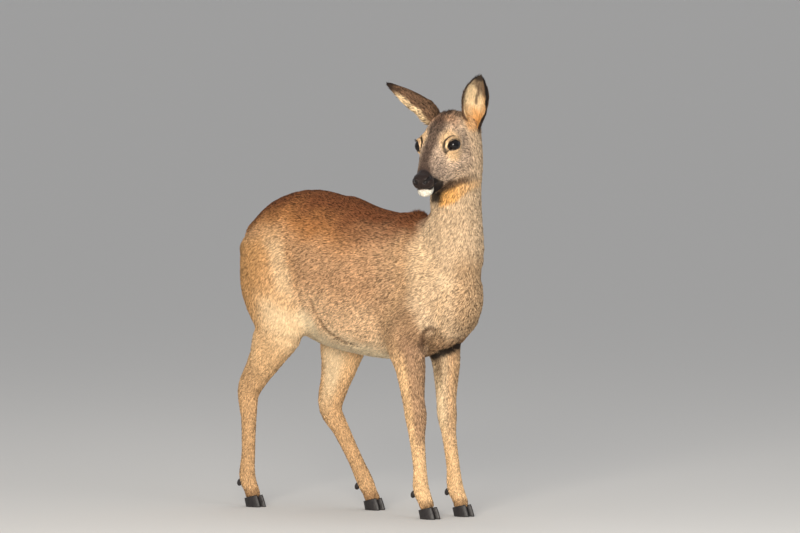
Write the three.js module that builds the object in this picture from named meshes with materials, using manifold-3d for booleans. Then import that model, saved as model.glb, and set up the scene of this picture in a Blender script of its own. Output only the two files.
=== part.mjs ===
// A roe deer doe, life size, standing alert with the neck upright and the head turned to her right.
// Millimetres. +X is forward along the trunk, +Y is her left, +Z is up, and the hooves stand at z = 0.
// The flesh is one soft field, made of tubes and balls that melt into each other. Each part of the body
// is that field turned into facets inside the part's own box, and then cut along the part's own planes.
import * as THREE from "three";
import { mergeVertices } from "three/addons/utils/BufferGeometryUtils.js";
import Module from "manifold-3d";

const wasm = await Module();
wasm.setup();

const { degToRad, lerp, clamp } = THREE.MathUtils;
const point = (x, y, z) => new THREE.Vector3(x, y, z);

// Driving dimensions
const WITHERS_HEIGHT = 698;
const CROUP_HEIGHT = 742;
const BELLY_HEIGHT = 357; // lowest line of the chest
const RUMP_X = -330;
const CHEST_X = 362;
const TRUNK_HALF_WIDTH = 108;
const EYE_RADIUS = 16;
const CUT = 0.4; // gap between neighbouring parts
const WIDEST_BLEND = 45; // no two shapes melt together from farther apart
const FAR = 1500; // half-size of a block that stands for half of space

const FORE_BONES = { pastern: 46, cannon: 168, forearm: 178, upperArm: 118 };
const HIND_BONES = { pastern: 46, cannon: 200, shank: 226, thigh: 182 };

// ---------------------------------------------------------------------------------------------------
// Soft shapes: each is a function of a point that gives roughly the distance to the shape's surface,
// negative inside.

const ellipsoidDistance = (x, y, z, a, b, c) => {
  const near = Math.hypot(x / a, y / b, z / c);
  const slope = Math.hypot(x / (a * a), y / (b * b), z / (c * c));
  return slope < 1e-9 ? -Math.min(a, b, c) : (near * (near - 1)) / slope;
};

const ball = (centre, a, b, c) => (p) =>
  ellipsoidDistance(p.x - centre.x, p.y - centre.y, p.z - centre.z, a, b, c);

// A tube through stations {at, deep, side}: side is its half-width across, along the sideways direction,
// and deep its half-width the other way. Both are carried smoothly from station to station.
function tube(stations, sideways = point(0, 1, 0), perSpan = 4) {
  const path = new THREE.CatmullRomCurve3(stations.map((s) => s.at), false, "centripetal");
  const halves = stations.map((s) => point(s.deep, s.side, 0));
  const sizes = new THREE.CatmullRomCurve3(halves, false, "catmullrom", 0.5);
  const count = (stations.length - 1) * perSpan;
  const links = [];
  for (let i = 0; i < count; i++) {
    const a = path.getPoint(i / count);
    const b = path.getPoint((i + 1) / count);
    const run = b.clone().sub(a);
    const along = run.clone().normalize();
    const across = sideways.clone().addScaledVector(along, -sideways.dot(along)).normalize();
    const depth = new THREE.Vector3().crossVectors(along, across);
    const [sa, sb] = [sizes.getPoint(i / count), sizes.getPoint((i + 1) / count)];
    links.push({ a, run, along, across, depth, length2: run.lengthSq(), sa, sb });
  }
  const reach = Math.max(...stations.flatMap((s) => [s.deep, s.side]));
  const bounds = new THREE.Box3().setFromPoints(stations.map((s) => s.at)).expandByScalar(reach);
  const v = new THREE.Vector3();
  return (p) => {
    const away = bounds.distanceToPoint(p);
    if (away > WIDEST_BLEND) return away;
    let best = Infinity;
    for (const k of links) {
      v.subVectors(p, k.a);
      const t = clamp(v.dot(k.run) / k.length2, 0, 1);
      v.addScaledVector(k.run, -t);
      const deep = lerp(k.sa.x, k.sb.x, t);
      const side = lerp(k.sa.y, k.sb.y, t);
      const end = Math.min(deep, side);
      const d = ellipsoidDistance(v.dot(k.along), v.dot(k.across), v.dot(k.depth), end, side, deep);
      if (d < best) best = d;
    }
    return best;
  };
}

// Joins two distances with a fillet about as wide as the blend.
const melt = (a, b, blend) => {
  const h = Math.max(blend - Math.abs(a - b), 0) / blend;
  return Math.min(a, b) - (h * h * blend) / 4;
};

// The body's field: a list of [shape, blend], each melted into those before it.
const meltAll = (shapes) => (p) => shapes.reduce((d, [shape, blend]) => melt(d, shape(p), blend), 1e4);

// ---------------------------------------------------------------------------------------------------
// Trunk and tail

// Heights of the back and the belly, and the half-width, at each place along the trunk.
const TRUNK_LINE = [
  { x: RUMP_X + 62, top: CROUP_HEIGHT - 58, belly: 532, half: 70 }, // buttocks
  { x: RUMP_X + 108, top: CROUP_HEIGHT - 21, belly: 488, half: 90 },
  { x: RUMP_X + 172, top: CROUP_HEIGHT, belly: 446, half: 101 }, // croup
  { x: -112, top: CROUP_HEIGHT - 4, belly: 412, half: TRUNK_HALF_WIDTH - 2 },
  { x: -68, top: CROUP_HEIGHT - 11, belly: BELLY_HEIGHT + 22, half: TRUNK_HALF_WIDTH },
  { x: 20, top: WITHERS_HEIGHT + 8, belly: BELLY_HEIGHT + 6, half: TRUNK_HALF_WIDTH + 2 },
  { x: 110, top: WITHERS_HEIGHT - 5, belly: BELLY_HEIGHT, half: TRUNK_HALF_WIDTH - 4 },
  { x: 190, top: WITHERS_HEIGHT - 8, belly: BELLY_HEIGHT + 6, half: 90 }, // withers
  { x: 250, top: WITHERS_HEIGHT - 62, belly: BELLY_HEIGHT + 20, half: 76 },
  { x: CHEST_X - 66, top: WITHERS_HEIGHT - 108, belly: BELLY_HEIGHT + 54, half: 61 }, // breast
];

const trunkTube = tube(
  TRUNK_LINE.map(({ x, top, belly, half }) => ({
    at: point(x, 0, (top + belly) / 2),
    deep: (top - belly) / 2,
    side: half,
  })),
);

// The tail is a stub, and the white hair below it hangs as a tassel.
const tailTube = tube([
  { at: point(RUMP_X + 36, 0, 660), deep: 18, side: 20 },
  { at: point(RUMP_X, 0, 641), deep: 14, side: 16 },
  { at: point(RUMP_X - 12, 0, 605), deep: 13, side: 14 },
  { at: point(RUMP_X - 14, 0, 565), deep: 14, side: 14 },
  { at: point(RUMP_X - 12, 0, 542), deep: 9, side: 9 },
]);

// ---------------------------------------------------------------------------------------------------
// Legs: a leg is walked up from its coronet, bone by bone, each leaning so many degrees forward.

function walkUp(coronet, bones) {
  const stops = [coronet];
  for (const { length, lean, drift = 0 } of bones) {
    const angle = degToRad(lean);
    const last = stops.at(-1);
    stops.push(point(last.x + length * Math.sin(angle), last.y + drift, last.z + length * Math.cos(angle)));
  }
  return stops;
}

const between = (a, b, share) => a.clone().lerp(b, share);
const CORONET_HEIGHT = 24;

// sign is +1 for her left side and -1 for her right, and girth thickens the whole limb.
function foreleg({ x, spread, sign, leans, girth }) {
  const outward = (mm) => sign * mm;
  const [coronet, fetlock, knee, elbow, shoulder] = walkUp(point(x, outward(spread), CORONET_HEIGHT), [
    { length: FORE_BONES.pastern, lean: leans[0] },
    { length: FORE_BONES.cannon, lean: leans[1] },
    { length: FORE_BONES.forearm, lean: leans[2], drift: outward(13) },
    { length: FORE_BONES.upperArm, lean: leans[3], drift: outward(4) },
  ]);
  const limb = tube([
    { at: between(coronet, fetlock, -0.3), deep: 18.5, side: 18.5 },
    { at: between(coronet, fetlock, 0.35), deep: 16.5, side: 17 },
    { at: fetlock.clone().add(point(-2, 0, 0)), deep: 19, side: 17.5 },
    { at: between(fetlock, knee, 0.3), deep: 15.5, side: 14.5 },
    { at: between(fetlock, knee, 0.72), deep: 18.5 * girth, side: 16.5 * girth },
    { at: knee.clone().add(point(2, 0, 0)), deep: 25 * girth, side: 22.5 * girth },
    { at: between(knee, elbow, 0.22), deep: 26 * girth, side: 23 * girth },
    { at: between(knee, elbow, 0.65), deep: 37 * girth, side: 30 * girth },
    { at: between(knee, elbow, 1.0).add(point(-6, 0, 0)), deep: 50 * girth, side: 37 },
    { at: between(elbow, shoulder, 0.6).add(point(-6, 0, 0)), deep: 60, side: 38 },
  ]);
  const blade = tube([
    { at: shoulder.clone().add(point(-8, outward(-12), 4)), deep: 54, side: 38 },
    { at: point(x - 58, outward(48), WITHERS_HEIGHT - 95), deep: 56, side: 30 },
  ]);
  return { coronet, fetlock, knee, elbow, shoulder, shape: (p) => melt(limb(p), blade(p), 30), sign };
}

function hindleg({ x, spread, sign, leans, drifts, girth }) {
  const outward = (mm) => sign * mm;
  const [coronet, fetlock, hock, stifle, hip] = walkUp(point(x, outward(spread), CORONET_HEIGHT), [
    { length: HIND_BONES.pastern, lean: leans[0] },
    { length: HIND_BONES.cannon, lean: leans[1], drift: outward(drifts[0]) },
    { length: HIND_BONES.shank, lean: leans[2], drift: outward(drifts[1]) },
    { length: HIND_BONES.thigh, lean: leans[3], drift: outward(drifts[2]) },
  ]);
  const limb = tube([
    { at: between(coronet, fetlock, -0.3), deep: 18.5, side: 18.5 },
    { at: between(coronet, fetlock, 0.35), deep: 16.5, side: 17 },
    { at: fetlock.clone().add(point(-2, 0, 0)), deep: 19.5, side: 17.5 },
    { at: between(fetlock, hock, 0.3), deep: 16.5 * girth, side: 14.5 },
    { at: between(fetlock, hock, 0.72), deep: 19.5 * girth, side: 16.5 },
    { at: hock, deep: 27 * girth, side: 21 },
    { at: between(hock, stifle, 0.24), deep: 33 * girth, side: 23 },
    { at: between(hock, stifle, 0.42), deep: 43 * girth, side: 29 },
    { at: between(hock, stifle, 0.64).add(point(-3, 0, 0)), deep: 56 * girth, side: 37 },
    { at: between(hock, stifle, 0.88).add(point(-6, 0, 0)), deep: 66, side: 44 },
    { at: between(stifle, hip, 0.35).add(point(-31, 0, 8)), deep: 80, side: 50 },
    { at: between(stifle, hip, 0.95).add(point(-12, 0, -6)), deep: 72, side: 44 },
  ]);
  // The heel bone stands out behind the hock, and its tendon runs up from it into the shank.
  const heel = between(hock, stifle, 0.08).add(point(-24, 0, 4));
  const tendon = tube([
    { at: between(hock, fetlock, 0.2).add(point(-5, 0, 0)), deep: 11, side: 10 },
    { at: heel, deep: 10, side: 10.5 },
    { at: between(hock, stifle, 0.45).add(point(-30, 0, -4)), deep: 16, side: 11 },
  ]);
  return { coronet, fetlock, hock, stifle, hip, shape: (p) => melt(limb(p), tendon(p), 14), sign };
}

const LEGS = {
  foreleg_right: foreleg({ x: 258, spread: 55, sign: -1, leans: [-23, -7, -4, 36], girth: 1.03 }),
  foreleg_left: foreleg({ x: 264, spread: 55, sign: 1, leans: [-23, -10, -4, 34], girth: 0.93 }),
  hindleg_right: hindleg({
    x: -280, spread: 60, sign: -1, leans: [-22, 2, 36, -19], drifts: [4, 16, -6], girth: 0.98,
  }),
  hindleg_left: hindleg({
    x: -12, spread: 56, sign: 1, leans: [-28, -34, 12, -25], drifts: [2, 18, 0], girth: 1.1,
  }),
};

// ---------------------------------------------------------------------------------------------------
// Neck, and the head in its own frame: origin midway between the eyes, x to the nose along the palate,
// y to her left and z to the crown.

const HEAD_PLACE = new THREE.Matrix4().compose(
  point(330, -98, 854),
  new THREE.Quaternion().setFromEuler(new THREE.Euler(degToRad(3.3), degToRad(25), degToRad(-73.5), "ZYX")),
  point(1, 1, 1),
);
const intoHead = HEAD_PLACE.clone().invert();
const onHead = (x, y, z) => point(x, y, z).applyMatrix4(HEAD_PLACE);

const neckTube = tube([
  { at: point(222, 0, 541), deep: 122, side: 76 },
  { at: point(274, -1, 615), deep: 94, side: 67 },
  { at: point(301, -7, 684), deep: 62, side: 58 },
  { at: point(306, -13, 745), deep: 59, side: 56 },
  { at: point(321, -15, 820), deep: 53, side: 50 },
  { at: point(328, -22, 884), deep: 48, side: 45 },
]);

const headShapes = [
  [ball(point(-38, 0, 5), 60, 42, 42), 1], // brain case
  [tube([ // face, from the brow to the nose
    { at: point(-20, 0, -3), deep: 39, side: 41 },
    { at: point(18, 0, -9), deep: 38, side: 37 },
    { at: point(52, 0, -19), deep: 31.5, side: 29 },
    { at: point(84, 0, -30), deep: 25, side: 23.5 },
    { at: point(104, 0, -35), deep: 20.5, side: 21.5 },
  ]), 22],
  [tube([ // lower jaw
    { at: point(-44, 0, -54), deep: 38, side: 31 },
    { at: point(0, 0, -59), deep: 33, side: 27 },
    { at: point(50, 0, -62), deep: 21, side: 20 },
    { at: point(90, 0, -62), deep: 13, side: 16 },
  ]), 16],
  [ball(point(110, 0, -44), 14, 18, 12), 10], // upper lip
  [ball(point(112, 0, -57), 15, 17, 12), 8], // chin
  [ball(point(-62, 0, 24), 34, 32, 24), 20], // crown
];
for (const side of [1, -1]) {
  headShapes.push(
    [ball(point(-2, side * 36, 6), 28, 17, 18), 12], // brow and eye rim
    [ball(point(-28, side * 29, -40), 46, 20, 42), 16], // cheek
    [tube([ // side of the face, from under the eye to the corner of the mouth
      { at: point(8, side * 24, -32), deep: 24, side: 18 },
      { at: point(58, side * 14.5, -42), deep: 17, side: 14 },
    ]), 14],
    [ball(point(112, side * 11, -31), 13, 13.5, 13.5), 10], // nostril wing
    [ball(point(-86, side * 32, -12), 15, 15, 17), 14], // ear root
  );
}
const headField = meltAll(headShapes);
// The eyes look outwards and somewhat forwards, each out of a shallow hollow as wide as the eye.
const EYE_SEAT = { x: 4, y: 39.5, z: 4 };
const eyeHollows = [1, -1].map((side) =>
  tube([
    { at: point(EYE_SEAT.x - 3, side * (EYE_SEAT.y + 21), EYE_SEAT.z + 1), deep: 12, side: 13.5 },
    { at: point(EYE_SEAT.x + 24, side * (EYE_SEAT.y + 10), EYE_SEAT.z), deep: 11, side: 13 },
  ]),
);
const local = new THREE.Vector3();
const headShape = (p) => {
  const q = local.copy(p).applyMatrix4(intoHead);
  return eyeHollows.reduce((d, hollow) => -melt(-d, hollow(q), 5), headField(q));
};

const flesh = meltAll([
  [trunkTube, 1],
  ...Object.values(LEGS).map((leg) => [leg.shape, 26]),
  [neckTube, 9],
  [tailTube, 10],
  [headShape, 20],
]);

// ---------------------------------------------------------------------------------------------------
// From a field to facets. Each sheet of surface that passes through a cell of a grid gets one point, moved
// onto the surface, and each grid edge that the surface crosses gets two facets between four such points.

const AXES = ["x", "y", "z"];
const CORNERS = [0, 1, 2, 3, 4, 5, 6, 7].map((c) => [c & 1, (c >> 1) & 1, c >> 2]);
const EDGES = [0, 1, 2].flatMap((axis) =>
  CORNERS.map((_, c) => c)
    .filter((c) => !(c & (1 << axis)))
    .map((c) => ({ from: c, to: c | (1 << axis), key: 3 * c + axis })),
);
// The corners round each side of a cell.
const SIDES = [0, 1, 2].flatMap((axis) => {
  const [u, v] = [1 << ((axis + 1) % 3), 1 << ((axis + 2) % 3)];
  return [0, 1 << axis].map((c) => [c, c | u, c | u | v, c | v]);
});
const edgeKey = (a, b) => 3 * Math.min(a, b) + Math.log2(a ^ b);

// The crossed edges of a cell, sorted into one group for each sheet of surface.
function sheets(inside) {
  const group = new Map();
  for (const { from, to, key } of EDGES) if (inside[from] !== inside[to]) group.set(key, key);
  const merge = (a, b) => {
    const [ga, gb] = [group.get(a), group.get(b)];
    for (const [key, g] of group) if (g === gb) group.set(key, ga);
  };
  for (const ring of SIDES) {
    const crossed = ring
      .map((c, n) => [c, ring[(n + 1) % 4]])
      .filter(([a, b]) => inside[a] !== inside[b]);
    if (crossed.length === 2) merge(edgeKey(...crossed[0]), edgeKey(...crossed[1]));
    if (crossed.length === 4)
      ring.forEach((c, n) => {
        if (inside[c]) merge(edgeKey(c, ring[(n + 1) % 4]), edgeKey(c, ring[(n + 3) % 4]));
      });
  }
  return group;
}

function facets(field, low, high, step, place = new THREE.Matrix4()) {
  const [nx, ny, nz] = AXES.map((k) => Math.ceil((high[k] - low[k]) / step[k]) + 1);
  const index = (i, j, k) => (k * ny + j) * nx + i;
  const node = (i, j, k) => point(low.x + i * step.x, low.y + j * step.y, low.z + k * step.z);
  const value = (p) => field(p.clone().applyMatrix4(place));
  const onRim = (i, j, k, end) => [i, j, k].some((n, a) => n <= 0 || n >= [nx, ny, nz][a] - 1 - end);
  const grid = new Float64Array(nx * ny * nz);
  const eachNode = (visit, end) => {
    for (let k = 0; k < nz - end; k++)
      for (let j = 0; j < ny - end; j++) for (let i = 0; i < nx - end; i++) visit(i, j, k);
  };
  eachNode((i, j, k) => (grid[index(i, j, k)] = onRim(i, j, k, 0) ? 1 : value(node(i, j, k))), 0);

  // Newton steps towards the surface, held within the cell.
  const settle = (p, reach) => {
    const start = p.clone();
    for (let pass = 0; pass < 4; pass++) {
      const slope = point(...AXES.map((a) => value(p.clone().setComponent(AXES.indexOf(a), p[a] + 0.5)) -
        value(p.clone().setComponent(AXES.indexOf(a), p[a] - 0.5))));
      p.addScaledVector(slope, -value(p) / Math.max(slope.lengthSq(), 0.05));
      p.clamp(start.clone().sub(reach), start.clone().add(reach));
    }
    return p;
  };

  const positions = [];
  const pointOf = new Map();
  const reach = step.clone().multiplyScalar(0.42);
  eachNode((i, j, k) => {
    const values = CORNERS.map(([a, b, c]) => grid[index(i + a, j + b, k + c)]);
    const inside = values.map((v) => v < 0);
    if (inside.every((v) => v === inside[0])) return;
    const group = sheets(inside);
    for (const sheet of new Set(group.values())) {
      const mean = point(0, 0, 0);
      const members = EDGES.filter(({ key }) => group.get(key) === sheet);
      for (const { from, to, key } of members) {
        const [a, b] = [from, to].map((c) => node(i + CORNERS[c][0], j + CORNERS[c][1], k + CORNERS[c][2]));
        mean.addScaledVector(a.lerp(b, values[from] / (values[from] - values[to])), 1 / members.length);
        pointOf.set(24 * index(i, j, k) + key, positions.length / 3);
      }
      positions.push(...(onRim(i, j, k, 1) ? mean : settle(mean, reach)).toArray());
    }
  }, 1);

  const triangles = [];
  const spot = (n) => point(...positions.slice(3 * n, 3 * n + 3));
  eachNode((i, j, k) => {
    const here = grid[index(i, j, k)] < 0;
    [1, 2, 4].forEach((bit, axis) => {
      const next = CORNERS[bit];
      if (here === grid[index(i + next[0], j + next[1], k + next[2])] < 0) return;
      const [u, v] = [1 << ((axis + 1) % 3), 1 << ((axis + 2) % 3)];
      const ring = [0, u, u | v, v].map((c) => {
        const [a, b, d] = CORNERS[c];
        return pointOf.get(24 * index(i - a, j - b, k - d) + 3 * c + axis);
      });
      if (!here) ring.reverse();
      const [p, q, r, s] = ring.map(spot);
      const split = p.distanceTo(r) <= q.distanceTo(s) ? [0, 1, 2, 0, 2, 3] : [1, 2, 3, 1, 3, 0];
      triangles.push(...split.map((n) => ring[n]));
    });
  }, 1);
  const made = new THREE.BufferGeometry();
  made.setAttribute("position", new THREE.Float32BufferAttribute(positions, 3));
  made.setIndex(triangles);
  return made.applyMatrix4(place);
}

// ---------------------------------------------------------------------------------------------------
// Solids: closed geometries as manifold-3d solids and back, and blocks that stand for half of space.

function toSolid(geometry) {
  const bare = geometry.clone();
  bare.deleteAttribute("normal");
  bare.deleteAttribute("uv");
  const merged = mergeVertices(bare, 1e-4);
  return new wasm.Manifold(
    new wasm.Mesh({
      numProp: 3,
      vertProperties: new Float32Array(merged.attributes.position.array),
      triVerts: new Uint32Array(merged.index.array),
    }),
  );
}

function toGeometry(solid) {
  const mesh = solid.getMesh();
  const made = new THREE.BufferGeometry();
  made.setAttribute("position", new THREE.BufferAttribute(mesh.vertProperties.slice(), 3));
  made.setIndex(new THREE.BufferAttribute(mesh.triVerts.slice(), 1));
  made.computeVertexNormals();
  return made;
}

// Everything on the far side of the plane through a point, the way that its normal points.
function beyond(origin, normal, gap = 0) {
  const way = normal.clone().normalize();
  const block = new THREE.BoxGeometry(2 * FAR, 2 * FAR, 2 * FAR).translate(0, 0, FAR + gap);
  block.applyQuaternion(new THREE.Quaternion().setFromUnitVectors(point(0, 0, 1), way));
  return toSolid(block.translate(origin.x, origin.y, origin.z));
}

const allOf = (solids) => solids.reduce((a, b) => a.intersect(b));

// The largest of a solid's bodies, so that no sliver is left beside a cut.
const mainBody = (solid) => solid.decompose().reduce((a, b) => (a.volume() > b.volume() ? a : b));

// ---------------------------------------------------------------------------------------------------
// Where the body is parted

const neckCut = { origin: point(262, 0, 620), normal: point(0.62, -0.02, 0.78) };
const headCut = { origin: onHead(-74, 0, -30), normal: point(0.86, 0, 0.5).transformDirection(HEAD_PLACE) };

// The tail's zone is the middle of the rump's rear face.
const tailZone = (gap) =>
  allOf([
    beyond(point(RUMP_X + 4, 0, 0), point(-1, 0, 0), -gap),
    beyond(point(0, 21, 0), point(0, -1, 0), -gap),
    beyond(point(0, -21, 0), point(0, 1, 0), -gap),
    beyond(point(0, 0, 684), point(0, 0, -1), -gap),
    beyond(point(0, 0, 522), point(0, 0, 1), -gap),
  ]);

// A leg's zone lies outside and below a slanting plane, short of the flank or the ribs above the limb.
const FREE_LIMB = 345; // below this height the flesh is all limb
function legZone(leg, name, gap) {
  const isFore = name.startsWith("fore");
  const groin = isFore ? point(leg.elbow.x, leg.sign * 10, 392) : point(leg.stifle.x, leg.sign * 7, 430);
  const slant = isFore ? point(0, leg.sign * 0.8, -0.6) : point(0, leg.sign * 0.86, -0.5);
  const fold = isFore ? point(leg.elbow.x - 62, 0, 400) : point(leg.stifle.x + 66, 0, 400);
  const foldNormal = isFore ? point(-0.93, 0, -0.1) : point(0.9, 0, -0.12);
  return allOf([
    beyond(groin, slant, -gap),
    beyond(point(0, 0, 0), point(0, leg.sign, 0), CUT / 2 - gap),
  ]).subtract(allOf([beyond(fold, foldNormal, gap), beyond(point(0, 0, FREE_LIMB), point(0, 0, 1), gap)]));
}

// ---------------------------------------------------------------------------------------------------
// Lofts through rings of points: ears and hooves

// Rings of equal counts, joined side to side. A ring's ends are closed by strips between its two halves.
function loft(rings) {
  const count = rings[0].length;
  const triangles = [];
  rings.slice(1).forEach((_, r) => {
    for (let i = 0; i < count; i++) {
      const [a, b] = [r * count + i, r * count + ((i + 1) % count)];
      triangles.push(a, b, b + count, a, b + count, a + count);
    }
  });
  const close = (first, flip) => {
    for (let i = 0; i < count / 2 - 1; i++) {
      const [a, b, c, d] = [i, i + 1, count - 2 - i, count - 1 - i].map((n) => first + n);
      const strip = b === c ? [a, b, d] : [a, b, c, a, c, d];
      triangles.push(...(flip ? strip.reverse() : strip));
    }
  };
  close(0, true);
  close((rings.length - 1) * count, false);
  const made = new THREE.BufferGeometry();
  const corners = rings.flat().flatMap((p) => p.toArray());
  made.setAttribute("position", new THREE.Float32BufferAttribute(corners, 3));
  made.setIndex(triangles);
  return made;
}

const outwardFacing = (geometry) => {
  const solid = toSolid(geometry);
  if (solid.volume() > 0) return solid;
  const turned = geometry.clone();
  turned.index.array.reverse();
  return toSolid(turned);
};

// A cupped leaf: a funnel at its root, widest above the middle, pointed at its tip. Its midrib bends from
// the root through the bend to the tip, and opening is the way that the cup faces.
const EAR_OUTLINE = [ // share of the length, half-width, half-angle of the cup's arc
  [0, 10, 150],
  [0.14, 15.5, 128],
  [0.32, 25.5, 102],
  [0.48, 30, 82],
  [0.64, 29.5, 70],
  [0.79, 23.5, 62],
  [0.91, 14.5, 55],
  [0.97, 9, 50],
  [1, 4.5, 45],
].map((row) => point(...row));
const EAR_WALL = 5;

function earSolid({ root, bend, tip, opening }) {
  const midrib = new THREE.QuadraticBezierCurve3(root, bend, tip);
  const outline = new THREE.CatmullRomCurve3(EAR_OUTLINE, false, "centripetal");
  const [rows, steps] = [10, 5];
  const rings = [];
  for (let r = 0; r <= rows; r++) {
    const { x: share, y: half, z: sweepDegrees } = outline.getPoint(r / rows);
    const centre = midrib.getPoint(share);
    const along = midrib.getTangent(share);
    const face = opening.clone().addScaledVector(along, -opening.dot(along)).normalize();
    const across = new THREE.Vector3().crossVectors(along, face);
    const sweep = degToRad(sweepDegrees);
    const radius = half / Math.sin(Math.min(sweep, Math.PI / 2));
    const wall = EAR_WALL * (1 - 0.4 * share);
    const arc = (inset, thinning) =>
      Array.from({ length: steps + 1 }, (_, i) => {
        const turn = lerp(-sweep, sweep, i / steps);
        const reach = radius - inset * (1 - thinning * Math.abs((2 * i) / steps - 1) ** 3);
        return centre.clone()
          .addScaledVector(across, reach * Math.sin(turn))
          .addScaledVector(face, radius * Math.cos(Math.min(sweep, Math.PI / 2)) - reach * Math.cos(turn));
      });
    rings.push([...arc(0, 0), ...arc(Math.min(wall, 0.6 * radius), 0.5).reverse()]);
  }
  return outwardFacing(loft(rings));
}

const EARS = {
  ear_left: {
    root: point(361, -12, 884),
    bend: point(383, -41, 958),
    tip: point(378, -9, 1010),
    opening: point(0.66, -0.75, 0.1),
  },
  ear_right: {
    root: point(285, -42, 897),
    bend: point(249, -55, 933),
    tip: point(178, -100, 992),
    opening: point(-0.78, 0.06, -0.64),
  },
};

// One claw of a cloven hoof: a pointed outline, flat on the ground, drawn in and back up to the coronet.
const HOOF_LENGTH = 45;
const HOOF_WIDTH = 17.5;
const CLEFT = 1.6;
const coronetSlope = (x) => 0.24 * x;

function hoofSolid(leg, side) {
  const levels = [
    { share: 0, grow: 1, back: 0 },
    { share: 0.5, grow: 0.97, back: -3 },
    { share: 1, grow: 0.86, back: -8 },
  ];
  const count = 10;
  const middle = point(leg.coronet.x + 8, leg.coronet.y + (side * (HOOF_WIDTH + CLEFT)) / 2, 0);
  const rings = levels.map(({ share, grow, back }) =>
    Array.from({ length: count }, (_, i) => {
      const turn = (2 * Math.PI * (i + 0.5)) / count;
      const toe = Math.cos(turn);
      const x = middle.x + back + (grow * HOOF_LENGTH * toe) / 2;
      const y = middle.y + ((grow * HOOF_WIDTH) / 2) * Math.sin(turn) * (1 - 0.3 * Math.max(toe, 0) ** 2);
      const top = CORONET_HEIGHT - CUT + coronetSlope(x - leg.coronet.x);
      return point(x, y, share * top);
    }),
  );
  return outwardFacing(loft(rings));
}

function dewclawSolid(leg, side, grow = 0) {
  const shape = new THREE.SphereGeometry(1, 7, 4).scale(7 + grow, 5.5 + grow, 9.5 + grow);
  shape.rotateY(degToRad(28));
  return toSolid(shape.translate(leg.fetlock.x - 17, leg.fetlock.y + side * 10, leg.fetlock.z - 11));
}

// ---------------------------------------------------------------------------------------------------
// The parts

const SKIN = new THREE.MeshStandardMaterial({ color: 0xb98a5f, roughness: 0.9, metalness: 0 });
const LEG_SKIN = new THREE.MeshStandardMaterial({ color: 0xc4955f, roughness: 0.9, metalness: 0 });
const HORN = new THREE.MeshStandardMaterial({ color: 0x1d1815, roughness: 0.45, metalness: 0 });
const EYE = new THREE.MeshStandardMaterial({ color: 0x120c09, roughness: 0.05, metalness: 0 });
const TAIL_WHITE = new THREE.MeshStandardMaterial({ color: 0xe9e0cf, roughness: 0.95, metalness: 0 });

const roe = new THREE.Group();
function addPart(name, solid, material) {
  const mesh = new THREE.Mesh(toGeometry(mainBody(solid)), material);
  mesh.name = name;
  roe.add(mesh);
}

const legNames = Object.keys(LEGS);
const zones = Object.fromEntries(legNames.map((n) => [n, legZone(LEGS[n], n, 0)]));
const wideZones = Object.fromEntries(legNames.map((n) => [n, legZone(LEGS[n], n, CUT)]));

// Trunk
const trunkBlock = toSolid(facets(flesh, point(-360, -150, 300), point(400, 150, 770), point(48, 33, 35)));
const trunk = [
  ...Object.values(wideZones),
  beyond(neckCut.origin, neckCut.normal, -CUT / 2),
  tailZone(CUT),
].reduce((solid, cut) => solid.subtract(cut), trunkBlock);
addPart("trunk", trunk, SKIN);

// Neck
const NECK_HIGH = point(420, 110, 960);
const NECK_STEP = point(25, 24, 30);
const neckBlock = toSolid(facets(flesh, point(140, -115, 480), NECK_HIGH, NECK_STEP));
const neck = allOf([
  neckBlock,
  beyond(neckCut.origin, neckCut.normal, CUT / 2),
  beyond(headCut.origin, headCut.normal.clone().negate(), CUT / 2),
]);
addPart("neck", neck, SKIN);

// Tail
const tailBlock = toSolid(facets(flesh, point(-372, -48, 505), point(-290, 48, 705), point(11, 10, 17)));
addPart("tail", tailBlock.intersect(tailZone(0)), TAIL_WHITE);

// Head, with its eye sockets
const HEAD_LOW = point(-130, -80, -110);
const HEAD_HIGH = point(140, 80, 70);
const headBlock = (grow) =>
  toSolid(facets((p) => flesh(p) - grow, HEAD_LOW, HEAD_HIGH, point(12.3, 11.2, 11.2), HEAD_PLACE));
const eyePlace = (side) => onHead(EYE_SEAT.x, side * EYE_SEAT.y, EYE_SEAT.z);
const eyeBall = (side, radius) => {
  const centre = eyePlace(side);
  return toSolid(new THREE.SphereGeometry(radius, 13, 8).translate(centre.x, centre.y, centre.z));
};
const headSolid = [1, -1].reduce(
  (solid, side) => solid.subtract(eyeBall(side, EYE_RADIUS + CUT)),
  headBlock(0).intersect(beyond(headCut.origin, headCut.normal, CUT / 2)),
);
addPart("head", headSolid, SKIN);
addPart("eye_left", eyeBall(1, EYE_RADIUS), EYE);
addPart("eye_right", eyeBall(-1, EYE_RADIUS), EYE);

// Ears, trimmed to the head and the neck
const headGrown = headBlock(CUT);
const neckGrown = toSolid(facets((p) => flesh(p) - CUT, point(140, -115, 780), NECK_HIGH, NECK_STEP));
for (const [name, ear] of Object.entries(EARS))
  addPart(name, earSolid(ear).subtract(headGrown).subtract(neckGrown), SKIN);

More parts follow.
